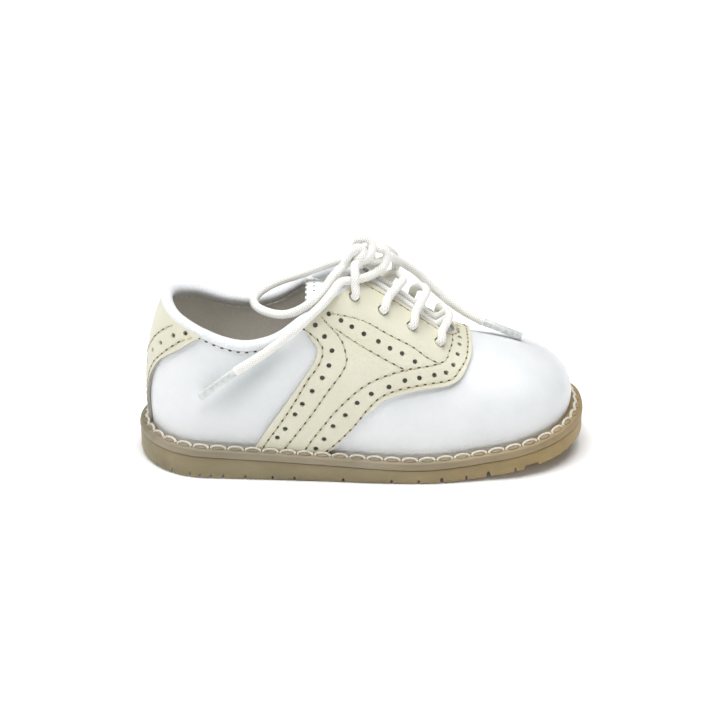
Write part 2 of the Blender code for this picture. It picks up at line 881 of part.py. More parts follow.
def make_lace():
    bars = [as_mesh(make_tube(f"lace_bar_{n + 2}", smooth_route(bar_route(n)))) for n in range(len(BARS))]
    strands = [as_mesh(make_tube(f"strand_{n}", smooth_route(strand_route(y)))) for n, y in enumerate(STRANDS)]
    join(bars[0], strands)
    near, near_out = eyelet(EYELET_ROWS - 1, NEAR)
    far, far_out = eyelet(EYELET_ROWS - 1, FAR)
    top = [near - near_out * 0.001, near + near_out * 0.0012]
    top += millimetres(TOP_BAR + TOP_BAR_FAR)
    top += [far + far_out * 0.0012, far - far_out * 0.001]
    make_tube("lace_bar_1", smooth_route(top))
    knot = as_mesh(make_tube("lace_knot", smooth_route(millimetres(KNOT_LOOP))))
    join(knot, [as_mesh(make_tube("knot_front", smooth_route(millimetres(KNOT_FRONT))))])
    make_tube("lace_loop_near", smooth_route(millimetres(NEAR_LOOP)))
    make_tube("lace_loop_far", smooth_route(millimetres(FAR_LOOP)))
    for name, route, length in (("near", NEAR_END, AGLET_NEAR_LENGTH), ("far", FAR_END, AGLET_FAR_LENGTH)):
        points = smooth_route(millimetres(route))
        make_tube(f"lace_end_{name}", points)
        onward = (AGLET_AIM[name]).normalized()
        start = points[-1] + onward * AGLET_GAP
        make_tube(f"aglet_{name}", [start, start + onward * length], AGLET_DIAMETER, (0.70, 0.72, 0.70))


AGLET_AIM = {"near": Vector((-11.3, 0.5, -8.9)), "far": Vector((12.4, -1.7, -4.4))}

for old in list(bpy.data.objects):
    bpy.data.objects.remove(old)
shoe = bpy.data.collections.new("saddle shoe")
cutters = bpy.data.collections.new("cutters")
bpy.context.scene.collection.children.link(shoe)
bpy.context.scene.collection.children.link(cutters)

outsole = make_outsole()
for groove in make_tread_cutters():
    boolean(outsole, groove, "DIFFERENCE")
make_welt()
make_insole()
eyelets = make_eyelet_cutter()
boolean(make_upper(), eyelets, "DIFFERENCE")
saddle = make_overlay("saddle")
boolean(saddle, make_side_cutter("saddle_cutter", SADDLE_OUTLINE), "INTERSECT")
boolean(saddle, eyelets, "DIFFERENCE")
boolean(make_overlay("counter"), make_counter_cutter(), "INTERSECT")
make_binding()
make_tongue()
make_lace()
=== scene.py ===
# %% [markdown]
# # A toddler's saddle shoe
#
# This notebook dresses the CAD model of a small lace-up shoe. On the real shoe a white leather upper is pulled over
# a wooden form, the last, and a cream saddle is stitched over its middle. The CAD model fixes where each part is and
# how large it is. Here each plain part gets the surface, the thickness, the stitches and the finish that the eye
# expects. Everything is in metres, with +X to the toe, +Y to the inner side of the foot and +Z up.

from math import cos, pi, radians, sin

import bmesh
import bpy
import numpy as np
from mathutils import Matrix, Vector
from mathutils.bvhtree import BVHTree
from mathutils.kdtree import KDTree


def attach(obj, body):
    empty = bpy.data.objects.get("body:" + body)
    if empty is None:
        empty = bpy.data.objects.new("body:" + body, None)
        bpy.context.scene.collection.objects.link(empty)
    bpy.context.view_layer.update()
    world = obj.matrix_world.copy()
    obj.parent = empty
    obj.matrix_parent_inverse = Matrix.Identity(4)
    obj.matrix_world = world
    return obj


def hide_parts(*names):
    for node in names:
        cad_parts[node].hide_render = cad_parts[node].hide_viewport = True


MM = 0.001
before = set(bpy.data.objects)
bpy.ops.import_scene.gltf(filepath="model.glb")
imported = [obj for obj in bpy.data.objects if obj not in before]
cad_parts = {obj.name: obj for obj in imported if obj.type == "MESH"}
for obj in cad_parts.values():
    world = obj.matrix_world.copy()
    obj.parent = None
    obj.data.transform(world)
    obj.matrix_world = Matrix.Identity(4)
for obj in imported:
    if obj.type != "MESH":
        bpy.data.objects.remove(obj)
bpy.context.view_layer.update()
scene = bpy.context.scene
print("CAD nodes:", ", ".join(sorted(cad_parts)))

# %% [markdown]
# ## The camera
# A product photograph is taken with a long lens from a little above the shoe. The place of the camera can be found
# by trial, but here it was worked out from the outline of the shoe and given as two angles, a distance and the
# point it looks at.

# %% Set the camera
CAMERA_AIM = Vector((-0.51, -0.67, 29.47)) * MM
CAMERA_ELEVATION, CAMERA_AZIMUTH = radians(23.57), radians(0.3)
CAMERA_DISTANCE = 600 * MM
CAMERA_LENS, CAMERA_SENSOR = 94.54, 36
level = cos(CAMERA_ELEVATION)
back = Vector((sin(CAMERA_AZIMUTH) * level, -cos(CAMERA_AZIMUTH) * level, sin(CAMERA_ELEVATION)))
camera = bpy.data.objects.new("camera", bpy.data.cameras.new("camera"))
camera.data.lens, camera.data.sensor_width = CAMERA_LENS, CAMERA_SENSOR
camera.location = CAMERA_AIM + back * CAMERA_DISTANCE
camera.rotation_euler = (-back).to_track_quat("-Z", "Y").to_euler()
scene.collection.objects.link(camera)
scene.camera = camera

# %% [markdown]
# ## The last
# A shoemaker's last is a wooden foot. The CAD source describes it with one function of three numbers: how far along
# the sole, which side, and how far up from the welt to the crown. The same function is written here for whole arrays
# of points at once, so that the surface can be as fine as it needs to be. A sculpted mesh would be quicker to start,
# but nothing on it would keep to the CAD.

# %% Sizes of the last, as in the CAD source
SOLE_LENGTH, HEEL_WIDTH, BALL_WIDTH = 0.142, 0.0506, 0.0584
HEEL_STACK, BALL_STACK, LEDGE_SPRING = 0.0108, 0.0069, 0.0076
TOE_SPRING, TOE_SWING, WELT_THICKNESS = 0.0065, 0.0053, 0.0025
LEDGE_HEEL, LEDGE_SIDE, LEDGE_TOE = 0.0039, 0.0042, 0.0044
INSTEP_HEIGHT, TOE_HEIGHT, HEEL_CLOSE_HEIGHT = 0.0575, 0.0366, 0.0650
# The toe's bulge is 0.020 in the CAD, and more here because the real toe cap is about a millimetre fuller
HEEL_BULGE, TOE_BULGE, SHOULDER = 0.055, 0.050, 2.2
THROAT_GAP, BINDING_HEIGHT, BINDING_THICKNESS = 0.0100, 0.0028, 0.0026
HEEL_CENTRE, TOE_CENTRE, NOSE, BALL = 0.17, 0.72, 0.78, 0.62
BINDING_END, THROAT_TOP, THROAT_END_START, THROAT_END = 0.478, 0.496, 0.672, 0.703
NOSE_POWER = 2.4
NEAR, FAR = -1, 1

OUTLINE = (
    # at, outer, inner
    (0.17, 0.867, 0.867),
    (0.29, 0.893, 0.860),
    (0.42, 0.931, 0.868),
    (0.54, 0.975, 0.935),
    (0.64, 1.000, 0.985),
    (0.70, 0.990, 1.000),
    (0.78, 0.955, 0.965),
)
CROWN = (
    # at, instep, toe, fullness
    (0.165, 1.125, 0.0, 2.0),
    (0.197, 1.176, 0.0, 2.0),
    (0.246, 1.275, 0.0, 2.0),
    (0.303, 1.325, 0.0, 2.0),
    (0.359, 1.285, 0.0, 2.0),
    (0.472, 1.076, 0.0, 2.05),
    (0.521, 0.997, 0.0, 2.1),
    (0.589, 0.698, 0.28, 2.2),
    (0.643, 0.415, 0.56, 2.3),
    (0.701, 0.145, 0.84, 2.4),
    (0.746, 0.0, 1.0, 2.5),
    (0.803, 0.0, 0.975, 2.5),
    (0.901, 0.0, 0.965, 2.5),
    (1.0, 0.0, 0.93, 2.5),
)
COLLAR = (
    # at, height
    (0.059, 0.936),
    (0.074, 0.923),
    (0.097, 0.887),
    (0.127, 0.856),
    (0.162, 0.819),
    (0.197, 0.788),
    (0.246, 0.770),
    (0.285, 0.786),
    (0.321, 0.821),
    (0.368, 0.903),
    (0.394, 0.945),
    (0.420, 0.988),
    (0.446, 1.016),
    (0.478, 1.032),
    (0.560, 1.035),
)

# %% The last as a function of arrays


def between(table, at, column):
    """Values of a table's column at many places, on a smooth curve through its rows."""
    places, values = np.array(table, float)[:, 0], np.array(table, float)[:, column]
    at = np.clip(at, places[0], places[-1])
    k = np.clip(np.searchsorted(places, at, side="right") - 1, 0, len(places) - 2)
    rows = np.arange(len(places))
    low, high = np.maximum(rows - 1, 0), np.minimum(rows + 1, len(places) - 1)
    slopes = (values[high] - values[low]) / (places[high] - places[low])
    span = places[k + 1] - places[k]
    u = (at - places[k]) / span
    rise = (2 * u**3 - 3 * u**2 + 1) * values[k] + (3 * u**2 - 2 * u**3) * values[k + 1]
    return rise + span * ((u**3 - 2 * u**2 + u) * slopes[k] + (u**3 - u**2) * slopes[k + 1])


def x_of(at):
    return (at - 0.5) * SOLE_LENGTH


def share_of(x):
    return x / SOLE_LENGTH + 0.5


def ledge_height(at):
    """Height of the top of the welt."""
    fall = np.minimum(at / BALL, 1.0)
    climb = np.maximum(at - 0.55, 0.0) / 0.45
    return HEEL_STACK + (BALL_STACK - HEEL_STACK) * fall + LEDGE_SPRING * climb**2


def ground_height(at):
    return TOE_SPRING * (np.maximum(at - 0.60, 0.0) / 0.40) ** 2


def half_width(at, side):
    half_ball, heel = BALL_WIDTH / 2, HEEL_WIDTH / 2
    first = np.where(side < 0, OUTLINE[0][1], OUTLINE[0][2])
    last = np.where(side < 0, OUTLINE[-1][1], OUTLINE[-1][2])
    share = np.where(side < 0, between(OUTLINE, at, 1), between(OUTLINE, at, 2))
    blend = np.clip((at - HEEL_CENTRE) / 0.30, 0.0, 1.0)
    middle = half_ball * share + (1 - blend) * (heel - half_ball * first)
    heel_end = heel * np.sqrt(np.clip(1 - ((HEEL_CENTRE - at) / HEEL_CENTRE) ** 2, 0.0, 1.0))
    over = np.clip((at - NOSE) / (1 - NOSE), 0.0, 1.0)
    toe_end = half_ball * last * (1 - over**NOSE_POWER) ** (1 / NOSE_POWER)
    return np.where(at < HEEL_CENTRE, heel_end, np.where(at > NOSE, toe_end, middle))


def swing(at):
    return TOE_SWING * (np.maximum(at - 0.5, 0.0) / 0.5) ** 2


reach_places = 0.5 + 0.01 * np.arange(40)
near_reach, far_reach = (np.max(side * swing(reach_places) + half_width(reach_places, side)) for side in (NEAR, FAR))
WIDTH_SHIFT = (far_reach - near_reach) / 2


def middle_line(at):
    return swing(at) - WIDTH_SHIFT


def unit(vectors):
    return vectors / np.maximum(np.linalg.norm(vectors, axis=-1, keepdims=True), 1e-12)


def centre_of(at):
    held = np.clip(at, HEEL_CENTRE, TOE_CENTRE)
    return np.stack([x_of(held), middle_line(held)], -1)


def rim_point(at, side, inset=0.0):
    """Points of the sole's outline, moved in towards their columns' centres."""
    point = np.stack([x_of(at), middle_line(at) + side * half_width(at, side)], -1)
    return point + unit(centre_of(at) - point) * np.asarray(inset)[..., None]


def ledge_width(at):
    heel = LEDGE_SIDE + (LEDGE_HEEL - LEDGE_SIDE) * (1 - at / HEEL_CENTRE)
    toe = LEDGE_SIDE + (LEDGE_TOE - LEDGE_SIDE) * (at - TOE_CENTRE) / (1 - TOE_CENTRE)
    return np.where(at < HEEL_CENTRE, heel, np.where(at > TOE_CENTRE, toe, LEDGE_SIDE))


def crown_height(at):
    return between(CROWN, at, 1) * INSTEP_HEIGHT + between(CROWN, at, 2) * TOE_HEIGHT


def last_point(at, side, turn):
    """Points of the last: turn runs from 0 at the feather line, where the upper meets the welt, to 1 at the crown."""
    at, side, turn = np.broadcast_arrays(at, side, turn)
    centre, feather = centre_of(at), rim_point(at, side, ledge_width(at))
    angle = turn * pi / 2
    rise = np.maximum(np.sin(angle), 0.0) ** (2 / SHOULDER)
    beyond = np.clip((at - BALL) / (1 - BALL), 0.0, 1.0)
    bulge = HEEL_BULGE + (TOE_BULGE - HEEL_BULGE) * beyond
    reach = np.maximum(np.cos(angle), 0.0) ** (2 / between(CROWN, at, 3)) * (1 + bulge * np.sin(pi * rise))
    spot = centre + (feather - centre) * reach[..., None]
    foot = ledge_height(at)
    out = unit(feather - centre)
    over_heel = HEEL_CLOSE_HEIGHT + (crown_height(HEEL_CENTRE) - HEEL_CLOSE_HEIGHT) * out[..., 1] ** 2
    crown = np.where(at < HEEL_CENTRE, over_heel, crown_height(share_of(spot[..., 0])))
    return np.concatenate([spot, (foot + (crown - foot) * rise)[..., None]], -1)


# %% [markdown]
# ## Columns round the shoe
# The upper is drawn as columns that stand on the welt, one every millimetre or so, all the way round. The columns
# bunch up at heel and toe if they are placed by their x alone, so they are placed by the length of the outline.

# %% Place the columns


def loop_columns(spacing):
    """Places and sides of evenly spaced columns, from the heel's back along the outer side and home along the inner."""
    ease = np.linspace(0, pi / 2, 400)
    heel_end, toe_end = HEEL_CENTRE * (1 - np.cos(ease)), NOSE + (1 - NOSE) * np.sin(ease) ** (2 / NOSE_POWER)
    dense = np.unique(np.concatenate([heel_end, np.linspace(HEEL_CENTRE, NOSE, 400), toe_end]))
    line = rim_point(dense, np.full_like(dense, NEAR), ledge_width(dense))
    length = np.concatenate([[0], np.cumsum(np.linalg.norm(np.diff(line, axis=0), axis=1))])
    even = np.interp(np.linspace(0, length[-1], int(round(length[-1] / spacing)) + 1), length, dense)
    sides = np.concatenate([np.full(len(even), NEAR), np.full(len(even) - 2, FAR)])
    return np.concatenate([even, even[::-1][1:-1]]), sides


def collar_height(x):
    return between(COLLAR, share_of(x), 1) * INSTEP_HEIGHT


def first_turn(test, turns):
    """The turn at which each column's test first comes true, from a test on columns by turns."""
    return turns[np.where(test.any(1), test.argmax(1), test.shape[1] - 1)]


FINE_TURNS = np.linspace(0, 1, 1501)


def fine_columns(at, side):
    return last_point(at[:, None], side[:, None], FINE_TURNS[None])


def binding_turn(at, side):
    points = fine_columns(at, side)
    return first_turn(points[..., 2] >= collar_height(points[..., 0]), FINE_TURNS)


def turn_below(at, side, start, distance):
    """The turn at which each column is a given distance under one of its points."""
    points = fine_columns(at, side)
    above = last_point(at, side, start)[:, None]
    near = np.linalg.norm(points - above, axis=-1) <= distance
    return first_turn(near | (FINE_TURNS[None] >= start[:, None]), FINE_TURNS)


def top_turn(at, side, under_binding):
    """Where each column ends: under the binding, at the edge of the throat or at the crown."""
    bound = turn_below(at, side, binding_turn(at, side), under_binding)
    points = fine_columns(at, side)
    over = np.clip((at - THROAT_END_START) / (THROAT_END - THROAT_END_START), 0.0, 1.0)
    gap = THROAT_GAP / 2 * np.sqrt(1 - over**2)
    inside = side[:, None] * (points[..., 1] - middle_line(at)[:, None]) <= gap[:, None]
    throat = first_turn(inside, FINE_TURNS)
    blend = np.clip((at - BINDING_END) / (THROAT_TOP - BINDING_END), 0.0, 1.0)
    blend = blend * blend * (3 - 2 * blend)
    return np.where(at >= THROAT_END, 1.0, bound * (1 - blend) + throat * blend)


column_at, column_side = loop_columns(1.0 * MM)
print(len(column_at), "columns round the upper")

# %% [markdown]
# ## Small tools
# A grid of points becomes a mesh in one call. Two more helpers give the grid its normals and lift it off the last.

# %% Grids and meshes


def mesh_of(name, vertices, faces):
    mesh = bpy.data.meshes.new(name)
    mesh.from_pydata([tuple(v) for v in vertices], [], [tuple(f) for f in faces])
    return mesh


def grid_faces(across, along, wrap=False):
    """Quads of a grid of points stored column by column."""
    columns = np.arange(across if wrap else across - 1)
    rows = np.arange(along - 1)
    c, r = np.meshgrid(columns, rows, indexing="ij")
    here, after = c * along + r, (c + 1) % across * along + r
    return np.stack([here, after, after + 1, here + 1], -1).reshape(-1, 4)


def add_piece(name, mesh, *materials, smooth=True):
    """An object of the shoe, at the origin."""
    for material in materials:
        mesh.materials.append(material)
    if smooth:
        mesh.shade_smooth()
    piece = bpy.data.objects.new(name, mesh)
    scene.collection.objects.link(piece)
    return piece


def dressed(piece, slot, *nodes):
    """Puts a piece on the one body and hides the CAD nodes that it stands for; the slot is not used."""
    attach(piece, "root")
    if nodes:
        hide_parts(*nodes)
    return piece


def tidy(mesh, distance=1e-6, outward=True):
    """Merges doubled points and turns the faces outwards."""
    work = bmesh.new()
    work.from_mesh(mesh)
    bmesh.ops.remove_doubles(work, verts=work.verts, dist=distance)
    if outward:
        bmesh.ops.recalc_face_normals(work, faces=work.faces)
    work.to_mesh(mesh)
    work.free()
    return mesh


def built(name, work, *materials, smooth=True):
    """The object of a finished bmesh."""
    mesh = bpy.data.meshes.new(name)
    work.to_mesh(mesh)
    work.free()
    return add_piece(name, mesh, *materials, smooth=smooth)


def mark_points(mesh, name, values):
    """A number for each point, which a material can read."""
    mesh.attributes.new(name, "FLOAT", "POINT").data.foreach_set("value", np.asarray(values, np.float32))


def closed_tube(name, grid, merge=1e-6, plait=None):
    """A tube from its lines of points, one line for each side, with a face over each end."""
    sides, count = grid.shape[:2]
    faces = [list(f) for f in grid_faces(sides, count, wrap=True)]
    faces += [[k * count + end for k in range(sides)] for end in (0, count - 1)]
    mesh = mesh_of(name, grid.reshape(-1, 3), faces)
    if plait is not None:
        mark_points(mesh, "plait", plait)
    return tidy(mesh, merge)


def finished(piece):
    """The piece with its modifiers turned into plain mesh."""
    graph = bpy.context.evaluated_depsgraph_get()
    mesh = bpy.data.meshes.new_from_object(piece.evaluated_get(graph))
    old = piece.data
    piece.modifiers.clear()
    piece.data = mesh
    bpy.data.meshes.remove(old)
    return piece


def add_modifier(piece, kind, **settings):
    modifier = piece.modifiers.new(kind.lower(), kind)
    for key, value in settings.items():
        setattr(modifier, key, value)
    return modifier


# %% [markdown]
# ## Materials
# Each finish starts from what it is on the real shoe. A node is added by one small function, with its settings and
# its links, and colours are written as the hex values that a screen shows.

# %% Node and colour helpers


def linear(code):
    """A hex sRGB colour as the linear numbers that a shader needs."""
    channels = [int(code[k : k + 2], 16) / 255 for k in (1, 3, 5)]
    return (*[c / 12.92 if c <= 0.04045 else ((c + 0.055) / 1.055) ** 2.4 for c in channels], 1.0)


def add_node(tree, kind, inputs=(), stops=(), **settings):
    """A node with its settings, its inputs set or linked, and for a ramp its two (place, colour) stops."""
    node = tree.nodes.new(kind)
    for key, value in settings.items():
        setattr(node, key, value)
    for key, value in dict(inputs).items():
        value = value.outputs[0] if isinstance(value, bpy.types.Node) else value
        if isinstance(value, bpy.types.NodeSocket):
            tree.links.new(value, node.inputs[key])
        else:
            node.inputs[key].default_value = value
    for k, (place, code) in enumerate(stops):
        element = node.color_ramp.elements[k]
        element.position, element.color = place, linear(code)
    return node


def new_material(name, code, **shader):
    """A Principled material with its even values set on the shader, and the place that its patterns read."""
    material = bpy.data.materials.new(name)
    material.use_nodes = True
    tree = material.node_tree
    principled = tree.nodes["Principled BSDF"]
    principled.inputs["Base Color"].default_value = linear(code)
    for key, value in shader.items():
        principled.inputs[key.replace("_", " ")].default_value = value
    return material, tree, principled, add_node(tree, "ShaderNodeTexCoord").outputs["Object"]


def finish(tree, principled, colour, layers):
    """Links the colour, and bumps one on the other: each is a height socket, a strength and a depth in metres."""
    tree.links.new(colour, principled.inputs["Base Color"])
    inputs = {}
    for height, strength, distance in layers:
        inputs |= {"Height": height, "Strength": strength, "Distance": distance}
        inputs["Normal"] = add_node(tree, "ShaderNodeBump", inputs).outputs["Normal"]
    tree.links.new(inputs["Normal"], principled.inputs["Normal"])


# %% [markdown]
# ### Leather
# White box-side leather is embossed with fine pores and gets a thin gloss from its finish. The cream leather is the
# same hide with a warmer, duller finish. Pores are cells about half a millimetre across, drawn a little larger here
# so that they show, and slow noise keeps the colour from looking like paint.

# %% Leather materials

# Painted shade: a blue-grey that the white leather's colour is multiplied by in its creases
CREASE_PAINTED_SHADE = "#D2D8D8"


def leather(name, dark, light, pore, roughness, coat, crease_and_shade=0.0):
    """Cloudy colour, grain and pores; where the crease attribute marks them, folds and a painted shade multiplied into
    the colour.
    """
    material, tree, shader, place = new_material(
        name, light, Roughness=roughness, IOR=1.5, Coat_Weight=coat, Coat_Roughness=0.25, Specular_IOR_Level=0.45
    )
    slow = {"Vector": place, "Scale": 55.0, "Detail": 4.0, "Roughness": 0.55}
    cloud = add_node(tree, "ShaderNodeTexNoise", slow).outputs["Fac"]
    colour = add_node(tree, "ShaderNodeValToRGB", {"Fac": cloud}, ((0.3, dark), (0.7, light))).outputs["Color"]
    pores = add_node(tree, "ShaderNodeTexVoronoi", {"Vector": place, "Scale": 1 / pore, "Randomness": 0.9})
    grain = add_node(tree, "ShaderNodeTexNoise", {"Vector": place, "Scale": 0.55 / pore, "Detail": 3.0})
    layers = [(grain.outputs["Fac"], 0.5, 0.3 * MM), (pores.outputs["Distance"], 0.35, 0.14 * MM)]
    if crease_and_shade:
        mark = add_node(tree, "ShaderNodeAttribute", attribute_name="crease_and_shade").outputs["Fac"]
        slant = {"Vector": place, "Rotation": (0.0, radians(25), 0.0), "Scale": (1.0, 0.35, 0.22)}
        stretched = add_node(tree, "ShaderNodeMapping", slant).outputs[0]
        folds = add_node(tree, "ShaderNodeTexNoise", {"Vector": stretched, "Scale": 900.0, "Detail": 2.0})
        depth = add_node(tree, "ShaderNodeMath", {0: folds.outputs["Fac"], 1: mark}, operation="MULTIPLY")
        layers.append((depth.outputs[0], crease_and_shade, 0.5 * MM))
        # Painted shade: where the crease attribute is high, the colour is multiplied by the grey
        painted_crease_shade = {"Factor": mark, 6: colour, 7: linear(CREASE_PAINTED_SHADE)}
        colour = add_node(tree, "ShaderNodeMix", painted_crease_shade, data_type="RGBA", blend_type="MULTIPLY").outputs[2]
    finish(tree, shader, colour, layers)
    return material


# Embossed side leather under a clear lacquer: a soft, broad gloss over fine pores, with painted shade, a grey, in its
# creases
white_leather = leather("white_side_leather", "#EAEDEF", "#F3F5F6", 0.55 * MM, 0.36, 0.25, crease_and_shade=0.6)
# The same hide with a pigmented finish and hardly any lacquer: warm and nearly matte
cream_leather = leather("cream_side_leather", "#DEDBC5", "#E7E5D1", 0.5 * MM, 0.46, 0.1)
# Thin glove leather, tumbled soft: white, with no more than a faint shine
tongue_leather = leather("white_tongue_leather", "#E6E9EB", "#F6F8F8", 0.5 * MM, 0.45, 0.1)

# %% [markdown]
# ### Rubber, lining, thread and plastic
# The sole is cast tan rubber, a little translucent, with mottling. The lining is thin taupe pigskin. Laces and
# stitches are spun polyester, which is matte with a soft sheen. Fibres a tenth of a millimetre thick would not show,
# so their noise is drawn four or five times as coarse.

# %% The other materials


def rubber(name, dark, light, toe_dark, toe_light):
    """Mottled rubber whose two tones turn warmer and paler towards the toe, a painted light on the toe."""
    material, tree, shader, place = new_material(
        name, light, Roughness=0.5, IOR=1.52, Subsurface_Weight=0.12, Subsurface_Scale=0.002, Specular_IOR_Level=0.4
    )
    long_way = add_node(tree, "ShaderNodeMapping", {"Vector": place, "Scale": (0.35, 1.0, 1.0)}).outputs[0]
    mottle = {"Vector": long_way, "Scale": 160.0, "Detail": 5.0, "Roughness": 0.6}
    cloud = add_node(tree, "ShaderNodeTexNoise", mottle).outputs["Fac"]
    heel_tone, toe_painted_light_tone = (
        add_node(tree, "ShaderNodeValToRGB", {"Fac": cloud}, ((0.32, low), (0.68, high))).outputs["Color"]
        for low, high in ((dark, light), (toe_dark, toe_light))
    )
    x = add_node(tree, "ShaderNodeSeparateXYZ", {0: place}).outputs["X"]
    along = add_node(tree, "ShaderNodeMapRange", {"Value": x, "From Min": 0.0, "From Max": 0.07}).outputs[0]
    tones = {"Factor": along, 6: heel_tone, 7: toe_painted_light_tone}
    colour = add_node(tree, "ShaderNodeMix", tones, data_type="RGBA").outputs[2]
    grit = add_node(tree, "ShaderNodeTexNoise", {"Vector": place, "Scale": 1400.0, "Detail": 2.0})
    finish(tree, shader, colour, [(cloud, 0.25, 0.4 * MM), (grit.outputs["Fac"], 0.2, 0.15 * MM)])
    return material


def fibre(name, dark, light, scale, roughness, depth, plait=None):
    """A matte spun or brushed finish with a little sheen; plait is the colour of painted shade laid where a braid's
    strands cross.
    """
    material, tree, shader, place = new_material(
        name, light, Roughness=roughness, Sheen_Weight=0.25, Sheen_Roughness=0.5, Specular_IOR_Level=0.25
    )
    nap = {"Vector": place, "Scale": scale, "Detail": 4.0, "Roughness": 0.65}
    fuzz = add_node(tree, "ShaderNodeTexNoise", nap).outputs["Fac"]
    colour = add_node(tree, "ShaderNodeValToRGB", {"Fac": fuzz}, ((0.3, dark), (0.7, light))).outputs["Color"]
    if plait:
        mark = add_node(tree, "ShaderNodeAttribute", attribute_name="plait").outputs["Fac"]
        # Painted shade: a grey multiplied in where the braid's strands dive under each other
        shaded = add_node(tree, "ShaderNodeValToRGB", {"Fac": mark}, ((0.0, plait), (0.5, "#FFFFFF"))).outputs["Color"]
        both = {"Factor": 1.0, 6: colour, 7: shaded}
        colour = add_node(tree, "ShaderNodeMix", both, data_type="RGBA", blend_type="MULTIPLY").outputs[2]
    finish(tree, shader, colour, [(fuzz, 0.4, depth)])
    return material


def film(name, dark, light):
    """A clear plastic film wound tight round the braid, which shows through it as pale spots."""
    material, tree, shader, place = new_material(
        name, light, Roughness=0.18, IOR=1.48, Coat_Weight=0.5, Coat_Roughness=0.1, Transmission_Weight=0.1
    )
    spots = {"Vector": place, "Scale": 700.0, "Detail": 2.0, "Roughness": 0.6}
    weave = add_node(tree, "ShaderNodeTexNoise", spots).outputs["Fac"]
    colour = add_node(tree, "ShaderNodeValToRGB", {"Fac": weave}, ((0.35, dark), (0.65, light))).outputs["Color"]
    finish(tree, shader, colour, [(weave, 0.3, 0.1 * MM)])
    return material


# Rubber cast in a mould: satin, a little see-through at its edges, mottled where the mix flowed
# Both rubbers are painted paler and warmer towards the toe, as painted light
tan_rubber = rubber("cast_tan_rubber", "#84795C", "#998C6B", "#978051", "#AF945F")
# The same rubber in a paler mix, moulded as a strip
welt_rubber = rubber("moulded_welt_rubber", "#8A816B", "#9D927C", "#95825F", "#A8936F")
# Pigskin buffed to a nap: matte. Its colour is painted light: near white, far paler than the taupe pigskin, so that in
# the shade inside the shoe it looks taupe
lining_leather = fibre("taupe_pigskin_lining_painted_light", "#EAE6DD", "#F6F2EB", 1300.0, 0.75, 0.12 * MM)
# A strip of milled leather folded over foam: small soft wrinkles that catch the light
white_binding = fibre("white_folded_binding", "#E4E8EC", "#FAFBFC", 1500.0, 0.6, 0.28 * MM)
# Braided spun polyester: chalky white, with painted shade, a grey, where a strand dives under the next
lace_fibre = fibre("ivory_braid_polyester", "#F8F7F2", "#FFFFFD", 1800.0, 0.7, 0.06 * MM, plait="#DDDBD3")
# Twisted sewing thread: dull, with a darker turn to every twist
thread = fibre("cream_thread", "#BDB396", "#D5CDB4", 2600.0, 0.7, 0.04 * MM)
# Thick waxed thread: paler and a little smoother
welt_thread = fibre("ivory_welt_thread", "#D2CBBA", "#EBE6DA", 2000.0, 0.65, 0.06 * MM)
# Painted shadow of a needle hole: brown, on a flat disc over the leather
needle_hole = fibre("needle_hole_painted_shadow", "#554B38", "#6A5F49", 2600.0, 0.9, 0.05 * MM)
# Painted shade for the punched holes and pinholes: flat dark grey on discs set in them
punch_hole = fibre("punched_hole_painted_shade", "#625F5D", "#797674", 2200.0, 0.85, 0.05 * MM)
# Leather cut through and left raw: open grey fibres with no shine, made darker with painted shade so the edge reads as
# a shadowed line
raw_edge_and_shade = fibre("raw_cut_edge_and_painted_shade", "#94918A", "#B5B2AA", 2400.0, 0.8, 0.08 * MM)
# Acetate film shrunk on: glossy and clear, so it looks greyer than the lace inside it
aglet_film = film("clear_acetate_aglet", "#D3D9D8", "#EAEDEA")

# %% [markdown]
# ## The upper
# The vamp and the quarters are one white skin here, because the saddle hides where they join. Its outer face is a
# grid of the columns. The wall is thickened inwards, the lining is a second skin just inside it, and the eight lace
# holes are drilled with a Boolean.

# %% Build the surface of the last

ROWS = 56
SKIN_BELOW_BINDING = BINDING_HEIGHT * 0.55


def smooth_columns(grid, passes):
    """Rounds off the slight corners where one stretch of the outline meets the next."""
    for _ in range(passes):
        grid = (np.roll(grid, 1, 0) + 2 * grid + np.roll(grid, -1, 0)) / 4
    return grid


def last_grid(tops, rows, skirt=0.0):
    """Columns from the feather line to their tops; with a skirt, a first row lies that far under the welt's top."""
    turns = tops[:, None] * np.linspace(0, 1, rows + 1)[None]
    grid = smooth_columns(last_point(column_at[:, None], column_side[:, None], turns), 3)
    if skirt:
        grid = np.concatenate([grid[:, :1] - np.array([0, 0, skirt]), grid], 1)
    return grid


full = last_grid(np.ones(len(column_at)), 150, skirt=0.012)
tree_faces = grid_faces(full.shape[0], full.shape[1], wrap=True)
last_tree = BVHTree.FromPolygons(
    [tuple(p) for p in full.reshape(-1, 3)], [tuple(int(i) for i in f) for f in tree_faces]
)
print("surface of the last:", len(tree_faces), "quads")

# %% [markdown]
# ## Charts of the last
# Stitches and pieces are easier to place on a flat map than in space. One chart covers the middle of the shoe: a
# point is x in millimetres and the angle round an axis that runs along the inside of the shoe, 0 to the outer side,
# 90 at the crown and 180 to the inner side. The other covers the heel: the angle round its upright axis and the
# height. Each chart casts a ray for every point of a table once, and looks the rest up.

# %% Make the two charts


